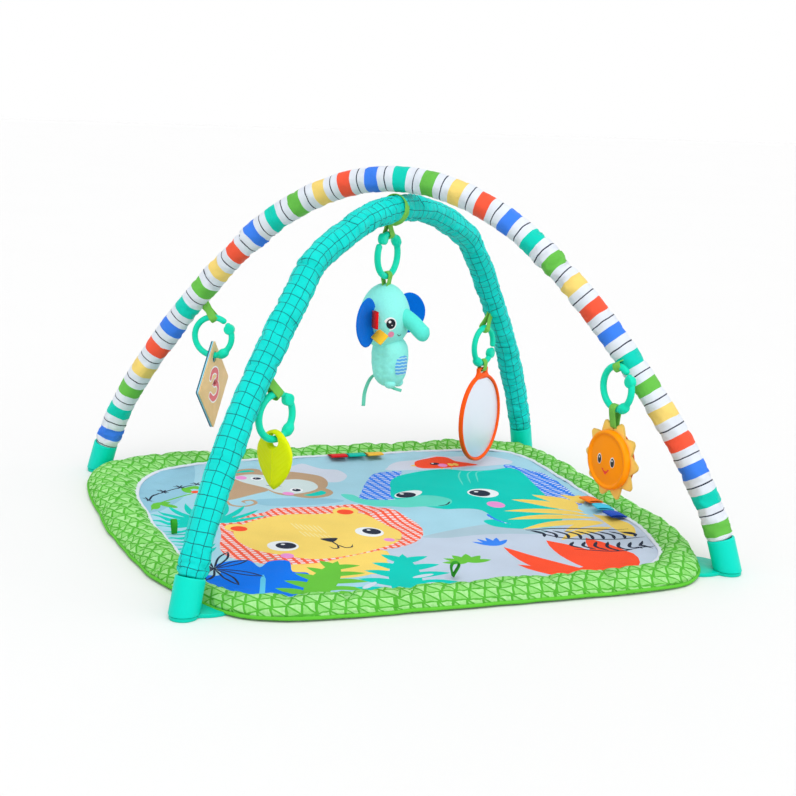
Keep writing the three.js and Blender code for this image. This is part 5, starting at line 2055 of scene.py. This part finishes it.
def make_ear_tags(where):
    """Two folded ribbons sewn in behind the near ear."""
    tags = [
        ("red", (-28, 1.0, -77), (-0.7, -0.7, 0.0), 21, 17, srgb(236, 14, 22), (0, 0, 1)),
        (
            "yellow", (-27, -3.0, -96), (-0.45, -0.85, -0.25), 15, 19, srgb(255, 200, 48),
            (0.5, -0.45, 0.75),
        ),
    ]
    for name, at, out, width, length, colour, upright in tags:
        out = unit(np.array(out))
        at = np.array(at, float)
        across = unit(np.cross(out, np.array(upright, float)))
        path = []
        fold = ((-0.1, 1.2), (0.3, 2.0), (0.7, 2.1), (0.95, 1.2))
        for t, off in (*fold, (1.0, 0), *((t, -off) for t, off in fold[::-1])):
            path.append(at + out * length * t + across * off)
        line = resample(smooth_line(path, 5), count=44)
        satin = cloth("ear_tag_" + name + "_satin", colour, 0.0007, 0.00012, 0.05, sheen=0.1)
        flat = rounded_bar(0.8, width, 0.35, 2)
        tag = sweep("elephant_tag_" + name, line, flat, satin, up=upright)
        put(tag, "elephant", "ribbon_cloth", matrix=where)


def make_feet(where, skin):
    """Two small stuffed feet under the front of the body."""
    for k, (x, y) in enumerate(((-2, -12), (16, -13))):
        foot = blob(f"elephant_foot_{k}", (x, y, -162), (7, 7.5, 6), skin)
        put(foot, "elephant", "plush_cloth", matrix=where)


# ---- Floor, light and camera ----

DOME_STRENGTH = 0.72
KEY_STRENGTH = 1.55
FILL_STRENGTH = 0.6
FLOOR_GREY = 0.81
FLOOR_REACH = 14
CAMERA_AT = (-0.62867, -1.74956, 0.56179)
CAMERA_YAW = -0.349508557
CAMERA_PITCH = 0.212508196
CAMERA_ROLL = 0.043650353
CAMERA_LENS = 66.78


def make_floor():
    shade = Shade("pale_floor_paint", Roughness=0.6, Specular_IOR_Level=0.2)
    shade.colour(shade.varied((FLOOR_GREY, FLOOR_GREY, FLOOR_GREY, 1), 0.004, 2))
    shade.bump(shade.cloud(60, 3), 0.0002)
    verts = [(x * FLOOR_REACH, y * FLOOR_REACH, 0) for x, y in ((-1, -1), (1, -1), (1, 1), (-1, 1))]
    new_piece("studio_floor", verts, [(0, 1, 2, 3)], shade.material)


def sun_light(name, towards, strength, spread):
    data = bpy.data.lights.new(name, "SUN")
    data.energy = strength
    data.angle = radians(spread)
    linked(name, data).rotation_euler = Vector(towards).to_track_quat("Z", "Y").to_euler()


def make_light():
    scene = bpy.context.scene
    world = bpy.data.worlds.new("studio")
    scene.world = world
    world.use_nodes = True
    nodes = world.node_tree.nodes
    links = world.node_tree.links
    split = nodes.new("ShaderNodeSeparateXYZ")
    links.new(nodes.new("ShaderNodeTexCoord").outputs["Generated"], split.inputs[0])
    dome = nodes.new("ShaderNodeMapRange")
    for key, value in (
        ("From Min", 0.1), ("From Max", 0.5), ("To Min", 1.0), ("To Max", DOME_STRENGTH),
    ):
        dome.inputs[key].default_value = value
    links.new(split.outputs["Z"], dome.inputs["Value"])
    links.new(dome.outputs["Result"], nodes["Background"].inputs["Strength"])
    nodes["Background"].inputs["Color"].default_value = (1.0, 1.0, 1.0, 1.0)
    sun_light("key", (-0.35, -1.0, 1.7), KEY_STRENGTH, 45)
    sun_light("fill", (0.9, -1.2, 0.7), FILL_STRENGTH, 70)
    scene.view_settings.view_transform = "Standard"


def make_camera():
    """The camera that took the photograph, solved from the feet and the bars' tops."""
    right = Vector((cos(CAMERA_YAW), sin(CAMERA_YAW), 0))
    level = Vector((-sin(CAMERA_YAW), cos(CAMERA_YAW), 0))
    forward = cos(CAMERA_PITCH) * level - Vector((0, 0, sin(CAMERA_PITCH)))
    up = right.cross(forward)
    rolled = cos(CAMERA_ROLL) * right + sin(CAMERA_ROLL) * up
    upright = -sin(CAMERA_ROLL) * right + cos(CAMERA_ROLL) * up
    data = bpy.data.cameras.new("studio_camera")
    data.lens = CAMERA_LENS
    data.sensor_width = 36
    camera = linked("studio_camera", data)
    basis = Matrix((rolled, upright, -forward)).transposed().to_4x4()
    camera.matrix_world = Matrix.Translation(CAMERA_AT) @ basis
    bpy.context.scene.camera = camera


make_camera()
make_light()
make_floor()
make_border()
make_panel()
make_piping()
make_tags()
make_mat_loops()
make_sleeves()
make_caps_and_anchors()
make_straps()
make_rings()
make_cards()
make_leaf()
make_mirror()
make_sun()
make_elephant()
